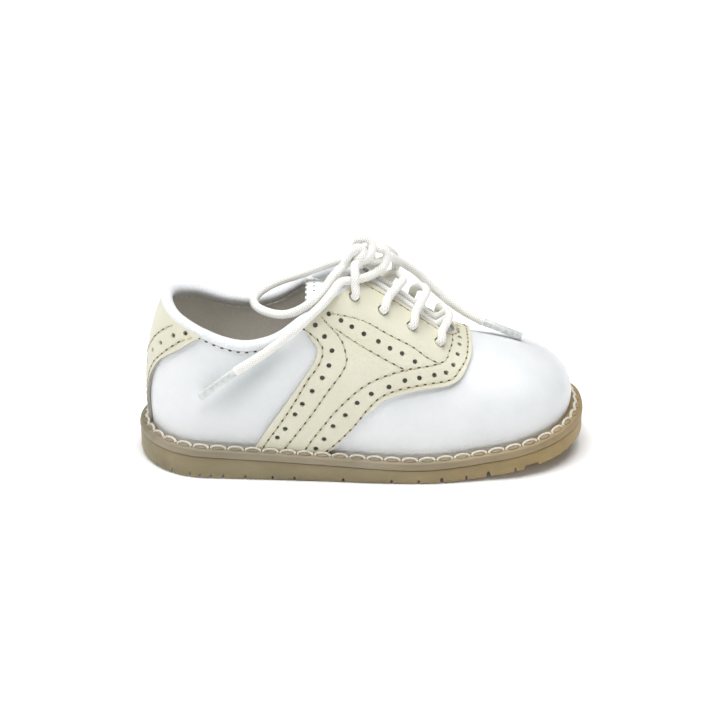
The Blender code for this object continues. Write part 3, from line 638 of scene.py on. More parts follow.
class Chart:
    """A map of part of the last: two numbers make a ray, and the table says how far along it the last lies."""

    def __init__(self, us, vs, ray, passes=4):
        self.us, self.vs, self.ray = us, vs, ray
        table = np.zeros((len(us), len(vs)))
        for i, u in enumerate(us):
            start, way = ray(np.full(len(vs), u), vs)
            for j in range(len(vs)):
                hit = last_tree.ray_cast(Vector(start[j]), Vector(way[j]))
                table[i, j] = hit[3] if hit[0] is not None else np.nan
            found = ~np.isnan(table[i])
            table[i] = np.interp(vs, vs[found], table[i][found])
        for _ in range(passes):
            inner = table[1:-1, 1:-1]
            ring = table[:-2, 1:-1] + table[2:, 1:-1] + table[1:-1, :-2] + table[1:-1, 2:]
            table[1:-1, 1:-1] = inner / 2 + ring / 8
        self.table = table

    def reach(self, u, v):
        """Distances from the axis by looking between the table's four nearest entries."""
        i = np.clip((u - self.us[0]) / (self.us[1] - self.us[0]), 0, len(self.us) - 1.001)
        j = np.clip((v - self.vs[0]) / (self.vs[1] - self.vs[0]), 0, len(self.vs) - 1.001)
        a, b = i.astype(int), j.astype(int)
        s, t, f = i - a, j - b, self.table
        low = f[a, b] * (1 - s) + f[a + 1, b] * s
        return low * (1 - t) + (f[a, b + 1] * (1 - s) + f[a + 1, b + 1] * s) * t

    def surface(self, u, v):
        start, way = self.ray(u, v)
        return start + way * self.reach(u, v)[..., None]

    def normal(self, u, v):
        du, dv = 0.5, 0.8
        along = self.surface(u + du, v) - self.surface(u - du, v)
        round_it = self.surface(u, v + dv) - self.surface(u, v - dv)
        start, way = self.ray(u, v)
        out = unit(np.cross(along, round_it))
        return out * np.sign(np.sum(out * way, -1, keepdims=True))

    def point(self, u, v, lift=0.0):
        """Points a distance off the last, at chart places u and v."""
        u, v = np.broadcast_arrays(np.asarray(u, float), np.asarray(v, float))
        return self.surface(u, v) + self.normal(u, v) * np.asarray(lift)[..., None]


AXIS_HEIGHT = 16 * MM


def waist_ray(x, turn):
    x, angle = x * MM, np.radians(turn)
    start = np.stack([x, middle_line(share_of(x)), np.full_like(x, AXIS_HEIGHT)], -1)
    return start, np.stack([np.zeros_like(x), -np.cos(angle), np.sin(angle)], -1)


def heel_ray(turn, z):
    angle = np.radians(turn)
    centre = np.full_like(angle, x_of(HEEL_CENTRE)), np.full_like(angle, -WIDTH_SHIFT)
    return np.stack([*centre, z * MM], -1), np.stack([-np.cos(angle), -np.sin(angle), np.zeros_like(angle)], -1)


waist = Chart(np.arange(-48, 46.1, 0.5), np.arange(-30, 211, 1.0), waist_ray)
heel = Chart(np.arange(-110, 110.1, 1.0), np.arange(4, 60.1, 0.5), heel_ray)
print("charts:", waist.table.shape, heel.table.shape)

# %% Lace holes

EYELET_ROWS, EYELET_PITCH, EYELET_EDGE, EYELET_HOLE = 4, 0.0087, 0.0064, 0.0036
FIRST_EYELET, OVERLAY, SEAM_GAP = 0.666, 0.0011, 0.0003
# A small step along the last, to find directions on it
NUDGE = 0.004


def eyelet(number, side):
    """Where a lace hole's axis meets the saddle's face, and the direction out of it, as in the CAD."""
    at = FIRST_EYELET - number * EYELET_PITCH / SOLE_LENGTH
    distance = THROAT_GAP / 2 + EYELET_EDGE
    line = last_point(at, side, FINE_TURNS)
    turn = FINE_TURNS[(side * (line[:, 1] - middle_line(at)) <= distance).argmax()]
    along = last_point(at + NUDGE, side, turn) - last_point(at - NUDGE, side, turn)
    up = last_point(at, side, turn + NUDGE) - last_point(at, side, turn - NUDGE)
    out = unit(np.cross(along, up) * -side)
    return Vector(last_point(at, side, turn) + out * (SEAM_GAP + OVERLAY)), Vector(out)


def facing_pose(place, out):
    return Matrix.Translation(place) @ Vector(out).to_track_quat("Z", "Y").to_matrix().to_4x4()


def cylinder_cutter(name, places, radius, depth, sides):
    """One mesh of round punches, each with its axis along the way out at its place."""
    work = bmesh.new()
    size = {"segments": sides, "radius1": radius, "radius2": radius, "depth": depth}
    for place, out in places:
        bmesh.ops.create_cone(work, cap_ends=True, matrix=facing_pose(place, out), **size)
    return built(name, work, smooth=False)


def punch(piece, cutter, solver="EXACT"):
    """Cuts the cutter out of the piece and leaves plain mesh, with sharp edges marked."""
    before = len(piece.data.polygons)
    add_modifier(piece, "BOOLEAN", operation="DIFFERENCE", solver=solver, object=cutter)
    finished(piece)
    print("punched", piece.name, before, "faces, now", len(piece.data.polygons))
    piece.data.shade_smooth()
    piece.data.set_sharp_from_angle(angle=radians(38))
    return piece


eyelets = [eyelet(number, side) for number in range(EYELET_ROWS) for side in (NEAR, FAR)]
eyelet_cutter = cylinder_cutter("eyelet_punch", eyelets, EYELET_HOLE / 2, 0.010, 32)

# %% Make the white skin and its lining

LEATHER_WALL = 0.0008
LINING_WALL = 0.0006


# Spots where the leather folds, which also mark where painted shade darkens the white leather
CREASE_AND_SHADE_SPOTS = (
    # place, size, depth
    ((-26.4, -21.5, 41.0), 3.4, 0.50), ((-29.5, -22.5, 37.3), 3.6, 0.65), ((-32.6, -23.0, 34.3), 3.6, 0.60),
    ((-35.6, -23.3, 31.3), 3.8, 0.52),
    ((-38.7, -23.5, 27.6), 4.2, 0.42), ((-41.7, -23.5, 24.4), 4.5, 0.30), ((-27.0, -24.0, 21.0), 12.0, 0.25),
    ((12.0, -23.0, 22.0), 9.0, 0.10),
    ((-36.0, 20.0, 30.0), 6.0, 0.25), ((-30.0, 21.0, 35.0), 6.0, 0.35), ((-22.0, 21.0, 32.0), 9.0, 0.30),
    ((12.0, 22.0, 22.0), 9.0, 0.20),
)


def crease_and_shade_at(points):
    """Where the leather is wrinkled and darkened with painted shade: behind the saddle's rear edge and in front of its
    tab.
    """
    total = np.zeros(len(points))
    for place, size, weight in CREASE_AND_SHADE_SPOTS:
        total += weight * np.exp(-np.sum((points - np.array(place) * MM) ** 2, 1) / (size * MM) ** 2)
    return np.minimum(total, 1.0)


tops = top_turn(column_at, column_side, SKIN_BELOW_BINDING)
outer = last_grid(tops, ROWS, skirt=0.0008)
skin_mesh = tidy(mesh_of("upper_leather", outer.reshape(-1, 3), grid_faces(*outer.shape[:2], wrap=True)))
skin_points = np.array([v.co for v in skin_mesh.vertices])
mark_points(skin_mesh, "crease_and_shade", crease_and_shade_at(skin_points))
upper = add_piece("upper_leather", skin_mesh, white_leather)
add_modifier(upper, "SOLIDIFY", thickness=LEATHER_WALL, offset=-1.0)
punch(finished(upper), eyelet_cutter)
normals = unit(np.cross(np.roll(outer, -1, 0) - np.roll(outer, 1, 0), np.gradient(outer, axis=1)))
inside = outer - normals * (LEATHER_WALL + 0.0001)
lining_mesh = tidy(mesh_of("lining", inside.reshape(-1, 3), grid_faces(*inside.shape[:2], wrap=True)))
lining = add_piece("lining", lining_mesh, lining_leather)
add_modifier(lining, "SOLIDIFY", thickness=LINING_WALL, offset=-1.0)
punch(finished(lining), eyelet_cutter)
dressed(upper, "white_leather", "upper")
dressed(lining, "lining")
print("upper:", len(upper.data.polygons), "faces, lining:", len(lining.data.polygons))

# %% [markdown]
# ## The saddle and the heel counter
# Both are flat pieces of cream leather, cut out, punched and then stitched down over the white upper, so their edges
# show the leather's thickness. Each is a patch between four lines drawn on a chart. The patch is thickened, its rim
# gets a small bevel, and the holes are punched through it. Trimming a shell with a Boolean would give the same
# outline, but with ragged rims that a bevel can't follow.

# %% Lines and patches on a chart


def even_steps(line, spacing, scale=1.0, count=None):
    """Points at even steps along a line; scale weighs its directions."""
    length = np.concatenate([[0], np.cumsum(np.linalg.norm(np.diff(line * scale, axis=0), axis=1))])
    count = count or max(3, int(round(length[-1] / spacing)) + 1)
    goals = np.linspace(0, length[-1], count)
    return np.stack([np.interp(goals, length, column) for column in line.T], -1)


def smooth_line(points, spacing, scale=1.0, count=None):
    """Evenly spaced points on a smooth curve through a few given ones."""
    p = np.array([tuple(point) for point in points], float)
    p = np.concatenate([2 * p[:1] - p[1:2], p, 2 * p[-1:] - p[-2:-1]])
    u = np.linspace(0, 1, 24, endpoint=False)[:, None]
    spans = [
        (2 * b + (c - a) * u + (2 * a - 5 * b + 4 * c - d) * u**2 + (3 * b - a - 3 * c + d) * u**3) / 2
        for a, b, c, d in zip(p, p[1:], p[2:], p[3:])
    ]
    return even_steps(np.concatenate([*spans, p[-2:-1]]), spacing, scale, count)


def patch(left, right, bottom, top):
    """A grid between four lines that share their corners: left and right run up, bottom and top run across."""
    u, v = np.linspace(0, 1, len(bottom))[:, None, None], np.linspace(0, 1, len(left))[None, :, None]
    sides = (1 - u) * left[None] + u * right[None]
    ends = (1 - v) * bottom[:, None] + v * top[:, None]
    low = (1 - u) * (1 - v) * bottom[0] + u * (1 - v) * bottom[-1]
    return sides + ends - low - (1 - u) * v * top[0] - u * v * top[-1]


def relaxed(grid, scale, passes=1500):
    """The grid with its inner lines eased apart until none cross, as in a mesh for flow round a body."""
    g = grid * scale
    for _ in range(passes):
        du, dv = (g[2:, 1:-1] - g[:-2, 1:-1]) / 2, (g[1:-1, 2:] - g[1:-1, :-2]) / 2
        a = np.sum(dv * dv, -1, keepdims=True)
        b = np.sum(du * dv, -1, keepdims=True)
        c = np.sum(du * du, -1, keepdims=True)
        cross = g[2:, 2:] - g[:-2, 2:] - g[2:, :-2] + g[:-2, :-2]
        pull = a * (g[2:, 1:-1] + g[:-2, 1:-1]) + c * (g[1:-1, 2:] + g[1:-1, :-2])
        g[1:-1, 1:-1] = (pull - b * cross / 2) / (2 * (a + c))
    return g / scale


# One degree round the waist or the heel is about this many millimetres of leather
DEGREE = np.array([1.0, 0.44])
HEEL_DEGREE = np.array([0.44, 1.0])


def waist_place(points, side):
    """Chart places of points on the last, with the inner side turned over onto the outer."""
    y = points[:, 1] - middle_line(share_of(points[:, 0]))
    return np.stack([points[:, 0] / MM, np.degrees(np.arctan2(points[:, 2] - AXIS_HEIGHT, side * y))], -1)


# %% [markdown]
# The tables below are the edges, stitch rows and punched holes as they lie on the charts. They were read off the
# outer side, which is the one that can be seen, and the inner side mirrors them.

# %% Pattern of the saddle

SADDLE_REAR = (
    (-32.2, -12.7), (-26.9, 8.7), (-21.8, 25.7), (-19.6, 32.5), (-17.5, 38.0), (-15.3, 43.5), (-14.0, 47.6),
    (-13.5, 50.6), (-13.8, 53.4), (-15.5, 56.1)
)
SADDLE_FRONT = (
    (-8.7, -14.1), (-3.5, 1.2), (-0.4, 10.5), (2.9, 16.7), (7.1, 24.1), (11.2, 27.0), (17.3, 29.8), (24.9, 32.1),
    (27.3, 33.4),
    (29.7, 36.8), (31.2, 41.4), (32.6, 49.0), (33.8, 58.5), (34.2, 70.1), (34.1, 81.8), (34.0, 90.0),
)
SADDLE_ROWS = {
    "rear outer": (
        (-30.8, -17.5), (-28.9, -9.7), (-18.1, 31.3), (-14.4, 41.1), (-12.4, 46.7), (-11.9, 51.9), (-13.7, 55.7),
        (-16.6, 58.4)
    ),
    "rear inner": (
        (-24.2, -18.0), (-22.3, -11.2), (-11.7, 25.4), (-7.4, 36.9), (-5.0, 43.8), (-4.7, 48.0), (-5.6, 54.1),
        (-7.0, 57.4), (-8.7, 59.8), (-12.0, 63.4)
    ),
    "eyestay upper": ((-9.0, 65.6), (-0.1, 65.1), (8.1, 60.7), (15.2, 56.4), (19.2, 51.8), (23.3, 48.3)),
    "eyestay lower": ((-7.5, 60.0), (-0.9, 54.8), (6.0, 49.0), (13.3, 42.5)),
    "front inner": (
        (-17.6, -17.5), (-15.9, -10.5), (-11.6, 4.6), (-8.4, 14.5), (-4.2, 24.4), (-0.1, 31.6), (3.9, 36.2),
        (9.0, 40.0), (13.3, 42.5),
        (20.7, 45.9), (25.0, 50.2), (26.6, 58.2), (27.6, 66.3), (27.9, 74.0),
    ),
}
SADDLE_FRONT_ROW = (
    (-11.4, -18.0), (-7.4, -9.0), (-2.2, 5.0), (1.2, 15.6), (5.1, 24.7), (9.7, 29.4), (14.0, 31.7), (21.3, 34.4),
    (25.7, 36.0), (27.8, 38.3), (30.3, 46.1), (32.0, 54.5), (32.7, 65.3), (33.0, 76.5), (33.0, 90.0)
)
SADDLE_HOLES = (
    (-14.1, 60.9), (-11.3, 57.0), (-9.0, 51.4), (-9.9, 44.5), (-11.9, 38.1), (-15.0, 30.4), (-18.0, 21.7),
    (-20.3, 13.7), (-23.4, 1.4),
    (-25.9, -6.5), (-10.1, 65.3), (-6.4, 63.7), (-3.1, 61.9), (0.6, 59.5), (5.0, 56.8), (8.5, 54.0), (12.2, 51.9),
    (16.1, 47.9),
    (-14.0, -14.7), (-11.4, -6.4), (-8.6, 4.8), (-4.8, 13.6), (-1.2, 22.4), (3.1, 28.3), (8.4, 32.5), (13.2, 36.3),
    (17.6, 38.0),
    (22.1, 40.0), (25.7, 42.1), (28.0, 48.3), (29.4, 57.9), (30.1, 68.4), (30.3, 78.2),
)

# %% Cut the saddle

OVERLAY_LIFT, OVERLAY_WALL = 1.2 * MM, 1.05 * MM
STITCH_SINK = 0.14 * MM
THROAT_PLACES = THROAT_END_START + (THROAT_END - THROAT_END_START) * np.sin(np.linspace(0, pi / 2, 24))


def top_places(side, start):
    """The saddle's upper edge on the chart, from under the binding along the throat to the crown in front of it."""
    at = np.concatenate([np.linspace(start, THROAT_END_START, 90)[:-1], THROAT_PLACES])
    sides = np.full_like(at, side)
    points = last_point(at, sides, top_turn(at, sides, 2.0 * MM))
    return np.concatenate([waist_place(points, side), [(34.0, 90.0)]])


def bottom_places(side, start, end):
    """The feather line on the chart, a little under the top of the welt."""
    at = share_of(np.linspace(start, end, 40) * MM)
    points = rim_point(at, np.full_like(at, side), ledge_width(at))
    heights = ledge_height(at) - 0.4 * MM
    return waist_place(np.concatenate([points, heights[:, None]], -1), side)


def seamed(top):
    """Even steps along an upper edge, with its last stretch, the seam over the crown, stepped alike on both sides."""
    return np.concatenate([even_steps(top[:-1], 1, DEGREE, 84), even_steps(top[-2:], 1, DEGREE, 13)[1:]])


def both_sides(places):
    return places, np.stack([places[:, 0], 180 - places[:, 1]], -1)


waist_rows, throat_rows = [], []
for points in SADDLE_ROWS.values():
    waist_rows += both_sides(smooth_line(points, 0.4, DEGREE))
front_row = smooth_line(SADDLE_FRONT_ROW, 0.4, DEGREE)
waist_rows.append(np.concatenate([front_row, both_sides(front_row[:-1])[1][::-1]]))
for side in (NEAR, FAR):
    edge = even_steps(top_places(side, share_of(-4 * MM))[:-1], 0.4, DEGREE)
    way = unit(np.gradient(edge * DEGREE, axis=0))
    inset = edge + np.stack([way[:, 1], -way[:, 0]], -1) * 1.15 / DEGREE
    throat_rows.append(inset if side == NEAR else np.stack([inset[:, 0], 180 - inset[:, 1]], -1))
waist_rows += throat_rows


def near_lines(lines, chart):
    """A search tree of all stitch points, to find how far a point lies from the nearest row."""
    points = np.concatenate([chart.point(line[:, 0], line[:, 1]) for line in lines])
    search = KDTree(len(points))
    for k, point in enumerate(points):
        search.insert(point, k)
    search.balance()
    return search


def sunk(points, search, holes, depth, width):
    """How far the leather is pulled down at each point by the thread and by the punched holes."""
    gap = np.array([search.find(point)[2] for point in points])
    pull = depth * np.exp(-((gap / width) ** 2))
    for hole in holes:
        far = np.linalg.norm(points - hole, axis=1)
        pull += 0.10 * MM * np.exp(-(((far - 0.8 * MM) / (0.35 * MM)) ** 2)) * (far > 0.8 * MM)
    return pull


def overlay_sheet(chart, grid, search, holes):
    """The outer face of an overlay: a patch lifted off the last and pulled in at its stitches."""
    base = chart.point(grid[..., 0].ravel(), grid[..., 1].ravel())
    lift = OVERLAY_LIFT - sunk(base, search, holes, STITCH_SINK, 0.55 * MM)
    points = chart.point(grid[..., 0].ravel(), grid[..., 1].ravel(), lift)
    faces = grid_faces(*grid.shape[:2])
    out = chart.normal(grid[..., 0].ravel(), grid[..., 1].ravel())
    a, b, c = points[faces[50, 0]], points[faces[50, 1]], points[faces[50, 2]]
    if np.dot(np.cross(b - a, c - a), out[faces[50, 0]]) < 0:
        faces = faces[:, ::-1]
    return points, faces


def overlay_piece(name, points, faces):
    """An overlay of cream leather: its outer face gets a thickness, a raw edge darkened with painted shade, and a small
    bevel.
    """
    mesh = tidy(mesh_of(name, points, faces), 2e-6, outward=False)
    piece = add_piece(name, mesh, cream_leather, raw_edge_and_shade)
    add_modifier(piece, "SOLIDIFY", thickness=OVERLAY_WALL, offset=-1.0, material_offset_rim=1)
    add_modifier(piece, "BEVEL", width=0.22 * MM, segments=2, limit_method="ANGLE", angle_limit=radians(50))
    return finished(piece)


saddle_search = near_lines(waist_rows, waist)
hole_places = np.array(SADDLE_HOLES)
all_holes = np.concatenate(both_sides(hole_places) + (np.array([(29.8, 90.0)]),))
hole_points = waist.point(all_holes[:, 0], all_holes[:, 1])
vertices, faces = [], []
for side in (NEAR, FAR):
    top = top_places(side, share_of(-18.2 * MM))
    bottom = bottom_places(side, -33.4, -12.7)
    left = smooth_line([bottom[0], *SADDLE_REAR, top[0]], 1, DEGREE, count=130)
    right = smooth_line([bottom[-1], *SADDLE_FRONT], 1, DEGREE, count=130)
    grid = relaxed(patch(left, right, even_steps(bottom, 1, DEGREE, 96), seamed(top)), DEGREE)
    if side == FAR:
        grid = np.stack([grid[..., 0], 180 - grid[..., 1]], -1)
    points, quads = overlay_sheet(waist, grid, saddle_search, hole_points)
    faces.append(quads + sum(len(v) for v in vertices))
    vertices.append(points)
saddle = overlay_piece("saddle_leather", np.concatenate(vertices), np.concatenate(faces))

BROGUE_RADIUS = 0.78 * MM


def punch_holes(piece, chart, holes):
    """Punches a hole at each place."""
    points, outs = chart.point(holes[:, 0], holes[:, 1], 0.9 * MM), chart.normal(holes[:, 0], holes[:, 1])
    cutter = cylinder_cutter("punch", zip(points, outs), BROGUE_RADIUS, 3 * MM, 20)
    punch(piece, cutter, "MANIFOLD")
    bpy.data.objects.remove(cutter)


punch(saddle, eyelet_cutter, "MANIFOLD")
punch_holes(saddle, waist, all_holes)
dressed(saddle, "cream_leather", "saddle")
print("saddle:", len(saddle.data.polygons), "faces,", len(all_holes), "punched holes")

# %% Pattern of the heel counter

COUNTER_EDGE = (
    (15.3, 12.1), (14.7, 17.9), (23.6, 26.3), (31.4, 30.9), (39.1, 34.4), (45.7, 36.4), (59.6, 39.5), (74.5, 43.0),
    (88.0, 45.6)
)
COUNTER_HOLES = ((68.0, 45.4), (54.8, 43.9), (39.8, 40.3), (26.9, 36.6), (14.6, 31.3))
COUNTER_ROW_INNER = ((50.0, 46.4), (42.2, 45.0), (27.3, 41.3), (15.4, 36.7), (7.0, 33.4), (0.0, 32.0))
COUNTER_ROW_OUTER = (
    (73.0, 44.2), (64.4, 42.9), (51.3, 39.7), (39.2, 36.0), (33.1, 33.9), (24.0, 29.2), (16.0, 22.6), (12.6, 17.9),
    (12.9, 12.4)
)

# %% Cut the counter


def heel_place(points):
    x, y = points[:, 0] - x_of(HEEL_CENTRE), points[:, 1] + WIDTH_SHIFT
    return np.stack([np.degrees(np.arctan2(-y, -x)), points[:, 2] / MM], -1)


def mirrored(line):
    """A line from the outer side carried on over the back of the heel to the inner side."""
    line = np.array(line, float)
    other = line[::-1] * (-1, 1)
    return np.concatenate([line, other[1:] if abs(line[-1][0]) < 1e-6 else other])


heel_at = HEEL_CENTRE * 1.35 * (1 - np.cos(np.linspace(0, pi / 2, 60)))
tops_heel = []
for side in (NEAR, FAR):
    sides = np.full_like(heel_at, side)
    turns = turn_below(heel_at, sides, binding_turn(heel_at, sides), 2.0 * MM)
    tops_heel.append(heel_place(last_point(heel_at, sides, turns)))
heel_top = np.concatenate([tops_heel[1][::-1], tops_heel[0][1:]])
heel_top = heel_top[np.argsort(heel_top[:, 0])]
edge = smooth_line(COUNTER_EDGE, 0.3, HEEL_DEGREE)
ceiling = np.interp(edge[:, 0], heel_top[:, 0], heel_top[:, 1])
end = int((edge[:, 1] >= ceiling).argmax()) or len(edge) - 1
corner_turn = edge[end, 0]
corner = np.array([[corner_turn, np.interp(corner_turn, heel_top[:, 0], heel_top[:, 1])]])
foot = np.array([[15.2, ledge_height(0.02) / MM - 0.4]])
right = even_steps(np.concatenate([foot, edge[:end], corner]), 1, HEEL_DEGREE, 110)
left = right * (-1, 1)
turns = np.linspace(-corner_turn, corner_turn, 400)
top = np.stack([turns, np.interp(turns, heel_top[:, 0], heel_top[:, 1])], -1)
top[0], top[-1] = left[-1], right[-1]
bottom = np.stack([np.linspace(-15.2, 15.2, 30), np.full(30, foot[0, 1])], -1)
heel_rows = [mirrored(smooth_line(COUNTER_ROW_INNER, 0.4, HEEL_DEGREE))]
outer_row = smooth_line(COUNTER_ROW_OUTER, 0.4, HEEL_DEGREE)
heel_rows += [outer_row, outer_row * (-1, 1)]
heel_holes = mirrored(COUNTER_HOLES)
heel_search = near_lines(heel_rows, heel)
grid = patch(left, right, even_steps(bottom, 1, HEEL_DEGREE, 150), even_steps(top, 1, HEEL_DEGREE, 150))
points, quads = overlay_sheet(heel, grid, heel_search, heel.point(heel_holes[:, 0], heel_holes[:, 1]))
counter = overlay_piece("counter_leather", points, quads)
punch_holes(counter, heel, heel_holes)
dressed(counter, "cream_leather", "counter")
print("counter:", len(counter.data.polygons), "faces, meets the binding at", round(float(corner_turn), 1), "degrees")

# %% [markdown]
# The punched holes are darkened with painted shade: a small dark disc lies at the bottom of each.

# %% Shade the punched holes with painted discs


# Small dark discs of painted shade, one in each hole
def discs(name, points, outs, radius):
    work = bmesh.new()
    for point, out in zip(points, outs):
        bmesh.ops.create_circle(work, cap_ends=True, segments=16, radius=radius, matrix=facing_pose(point, out))
    return built(name, work, punch_hole)


for name, chart, places in (("saddle", waist, all_holes), ("counter", heel, heel_holes)):
    lifted, outs = chart.point(places[:, 0], places[:, 1], 0.3 * MM), chart.normal(places[:, 0], places[:, 1])
    dressed(discs(f"{name}_hole_painted_shade", lifted, outs, 1.0 * MM), "lining")
bpy.data.objects.remove(eyelet_cutter)

# %% [markdown]
# ## Stitches
# A lockstitch shows as a short raised thread and a dark gap where it dives through the needle hole; the gap is
# painted shadow, a flat dark disc on the leather. One node tree sews every row: it walks a line at the stitch's pitch
# and sets a thread and a gap at each step, turned along the line and out of the leather. The line carries the
# outward direction as an attribute.

# %% The stitching tree


def new_tree(name, sizes, materials):
    """A node tree that takes a mesh, sizes and materials by name, with the sockets that bring them in."""
    tree = bpy.data.node_groups.new(name, "GeometryNodeTree")
    kinds = {"Geometry": "Geometry", **dict.fromkeys(sizes, "Float"), **dict.fromkeys(materials, "Material")}
    for label, kind in kinds.items():
        tree.interface.new_socket(label, in_out="INPUT", socket_type=f"NodeSocket{kind}")
    tree.interface.new_socket("Geometry", in_out="OUTPUT", socket_type="NodeSocketGeometry")
    return tree, add_node(tree, "NodeGroupInput").outputs


def grown(name, points, edges, tree, values, **attributes):
    """A piece that a node tree grows along lines, made into plain mesh."""
    mesh = bpy.data.meshes.new(name)
    mesh.from_pydata([tuple(p) for p in points], edges, [])
    for label, vectors in attributes.items():
        mesh.attributes.new(label, "FLOAT_VECTOR", "POINT").data.foreach_set("vector", vectors.ravel())
    piece = add_piece(name, mesh, smooth=False)
    modifier = add_modifier(piece, "NODES", node_group=tree)
    for item in tree.interface.items_tree:
        if item.in_out == "INPUT" and item.name in values:
            modifier[item.identifier] = values[item.name]
    return finished(piece)


def stitch_tree(name, bow_kind, bow, facets, swelling=False):
    """Sews a line: at each pitch a thread swept along a bow and a dark gap of painted shadow, with or without a
    swelling of rubber.
    """
    sizes = ("Pitch", "Stitch length", "Thread width", "Arch", "Rise", "Slot length", "Slot width")
    tree, size = new_tree(name, sizes, ("Thread", "Slot", "Rubber"))
    line = add_node(tree, "GeometryNodeMeshToCurve", {"Mesh": size["Geometry"]})
    steps = add_node(tree, "GeometryNodeResampleCurve", {"Curve": line, "Length": size["Pitch"]}, mode="LENGTH")
    along = add_node(tree, "GeometryNodeInputTangent")
    out = add_node(tree, "GeometryNodeInputNamedAttribute", {"Name": "out"}, data_type="FLOAT_VECTOR")
    turn = add_node(tree, "FunctionNodeAxesToRotation", {0: along, 1: out}, primary_axis="X", secondary_axis="Z")
    reach = add_node(tree, "ShaderNodeCombineXYZ", {"X": size["Stitch length"], "Y": size["Arch"], "Z": size["Rise"]})
    arc = add_node(tree, "GeometryNodeTransform", {"Geometry": add_node(tree, bow_kind, bow), "Scale": reach})
    half = add_node(tree, "ShaderNodeMath", {0: size["Thread width"], 1: 0.5}, operation="MULTIPLY")
    ring = add_node(tree, "GeometryNodeCurvePrimitiveCircle", {"Resolution": facets, "Radius": half})
    strand = add_node(tree, "GeometryNodeCurveToMesh", {"Curve": arc, "Profile Curve": ring, "Fill Caps": True})
    # The dark gap is a flat disc just over the leather: painted shadow of the needle hole
    dot = add_node(tree, "GeometryNodeMeshCircle", {"Vertices": 10, "Radius": 0.5}, fill_type="NGON")
    wide = add_node(tree, "ShaderNodeCombineXYZ", {"X": size["Slot length"], "Y": size["Slot width"], "Z": 1.0})
    step = add_node(tree, "ShaderNodeMath", {0: size["Pitch"], 1: 0.5}, operation="MULTIPLY")
    shift = add_node(tree, "ShaderNodeCombineXYZ", {"X": step, "Z": 0.03 * MM})
    gap = add_node(tree, "GeometryNodeTransform", {"Geometry": dot, "Translation": shift, "Scale": wide})
    parts = [(strand, "Thread"), (gap, "Slot")]
    if swelling:
        lump = add_node(tree, "GeometryNodeMeshUVSphere", {"Segments": 12, "Rings": 6, "Radius": 0.5})
        pose = {"Translation": (0, -0.3 * MM, -0.05 * MM), "Scale": (3.5 * MM, 2.0 * MM, 0.8 * MM)}
        parts.insert(1, (add_node(tree, "GeometryNodeTransform", {"Geometry": lump.outputs[0], **pose}), "Rubber"))
    whole = add_node(tree, "GeometryNodeJoinGeometry")
    for shape, material in parts:
        coloured = add_node(tree, "GeometryNodeSetMaterial", {"Geometry": shape, "Material": size[material]})
        tree.links.new(coloured.outputs[0], whole.inputs[0])
    sown = add_node(tree, "GeometryNodeInstanceOnPoints", {"Points": steps, "Instance": whole, "Rotation": turn})
    real = add_node(tree, "GeometryNodeRealizeInstances", {"Geometry": sown})
    add_node(tree, "NodeGroupOutput", {"Geometry": add_node(tree, "GeometryNodeSetShadeSmooth", {"Geometry": real})})
    return tree


FINE_BOW = {"Resolution": 6, "Start": (-0.5, 0, -0.2), "Middle": (0, 0, 2.0), "End": (0.5, 0, -0.2)}
fine_row = stitch_tree("stitch_row", "GeometryNodeCurveQuadraticBezier", FINE_BOW, 6)


def sew(name, rows, slot, tree=fine_row, **values):
    """Stitches along rows, each a pair of arrays: points, and directions out of the leather."""
    starts = np.cumsum([0] + [len(points) for points, _ in rows])
    edges = [(k, k + 1) for start, (points, _) in zip(starts, rows) for k in range(start, start + len(points) - 1)]
    outs = np.concatenate([out for _, out in rows]).astype(np.float32)
    piece = grown(name, [p for points, _ in rows for p in points], edges, tree, values, out=outs)
    dressed(piece, slot)
    print(name, len(piece.data.polygons), "faces")


FINE_STITCH = {
    "Pitch": 2.6 * MM, "Stitch length": 1.5 * MM, "Thread width": 0.42 * MM, "Arch": 1.0, "Rise": 0.16 * MM,
    "Slot length": 1.4 * MM, "Slot width": 0.54 * MM, "Thread": thread, "Slot": needle_hole,
}


def chart_row(chart, line, lift):
    return chart.point(line[:, 0], line[:, 1], lift), chart.normal(line[:, 0], line[:, 1])


# %% Sew the saddle and the counter

SEWN_LIFT = OVERLAY_LIFT - STITCH_SINK + 0.02 * MM
sew("saddle_stitches", [chart_row(waist, row, SEWN_LIFT) for row in waist_rows], "cream_leather", **FINE_STITCH)
sew("counter_stitches", [chart_row(heel, row, SEWN_LIFT) for row in heel_rows], "cream_leather", **FINE_STITCH)

# %% [markdown]
# ## The bound collar
# The top edge of the shoe is wrapped in a soft white strip. It is an oval swept along the collar from one corner of
# the throat round the heel to the other.

# %% Bind the collar


def last_normal(at, side, turn):
    along = last_point(np.minimum(at + NUDGE, 1.0), side, turn) - last_point(np.maximum(at - NUDGE, 0.0), side, turn)
    up = last_point(at, side, np.minimum(turn + NUDGE, 1.0)) - last_point(at, side, np.maximum(turn - NUDGE, 0.0))
    return unit(np.cross(along, up) * -side[:, None])


def collar_line(below):
    """The collar a distance under its top, from one corner of the throat to the other, with its outs and ups."""
    ease = np.linspace(0, pi / 2, 40)
    stations = np.concatenate([HEEL_CENTRE * (1 - np.cos(ease)), np.linspace(HEEL_CENTRE, BINDING_END, 70)[1:]])
    at = np.concatenate([stations[::-1], stations[1:]])
    side = np.concatenate([np.full(len(stations), NEAR), np.full(len(stations) - 1, FAR)])
    turn = turn_below(at, side, binding_turn(at, side), below)
    middle = smooth_open(last_point(at, side, turn))
    out = smooth_open(last_normal(at, side, turn))
    up = last_point(at, side, turn + 0.01) - last_point(at, side, turn - 0.01)
    up = smooth_open(unit(up - out * np.sum(up * out, -1, keepdims=True)))
    return middle, out, unit(up)


def smooth_open(line, passes=4):
    for _ in range(passes):
        line = np.concatenate([line[:1], (line[:-2] + 2 * line[1:-1] + line[2:]) / 4, line[-1:]])
    return line


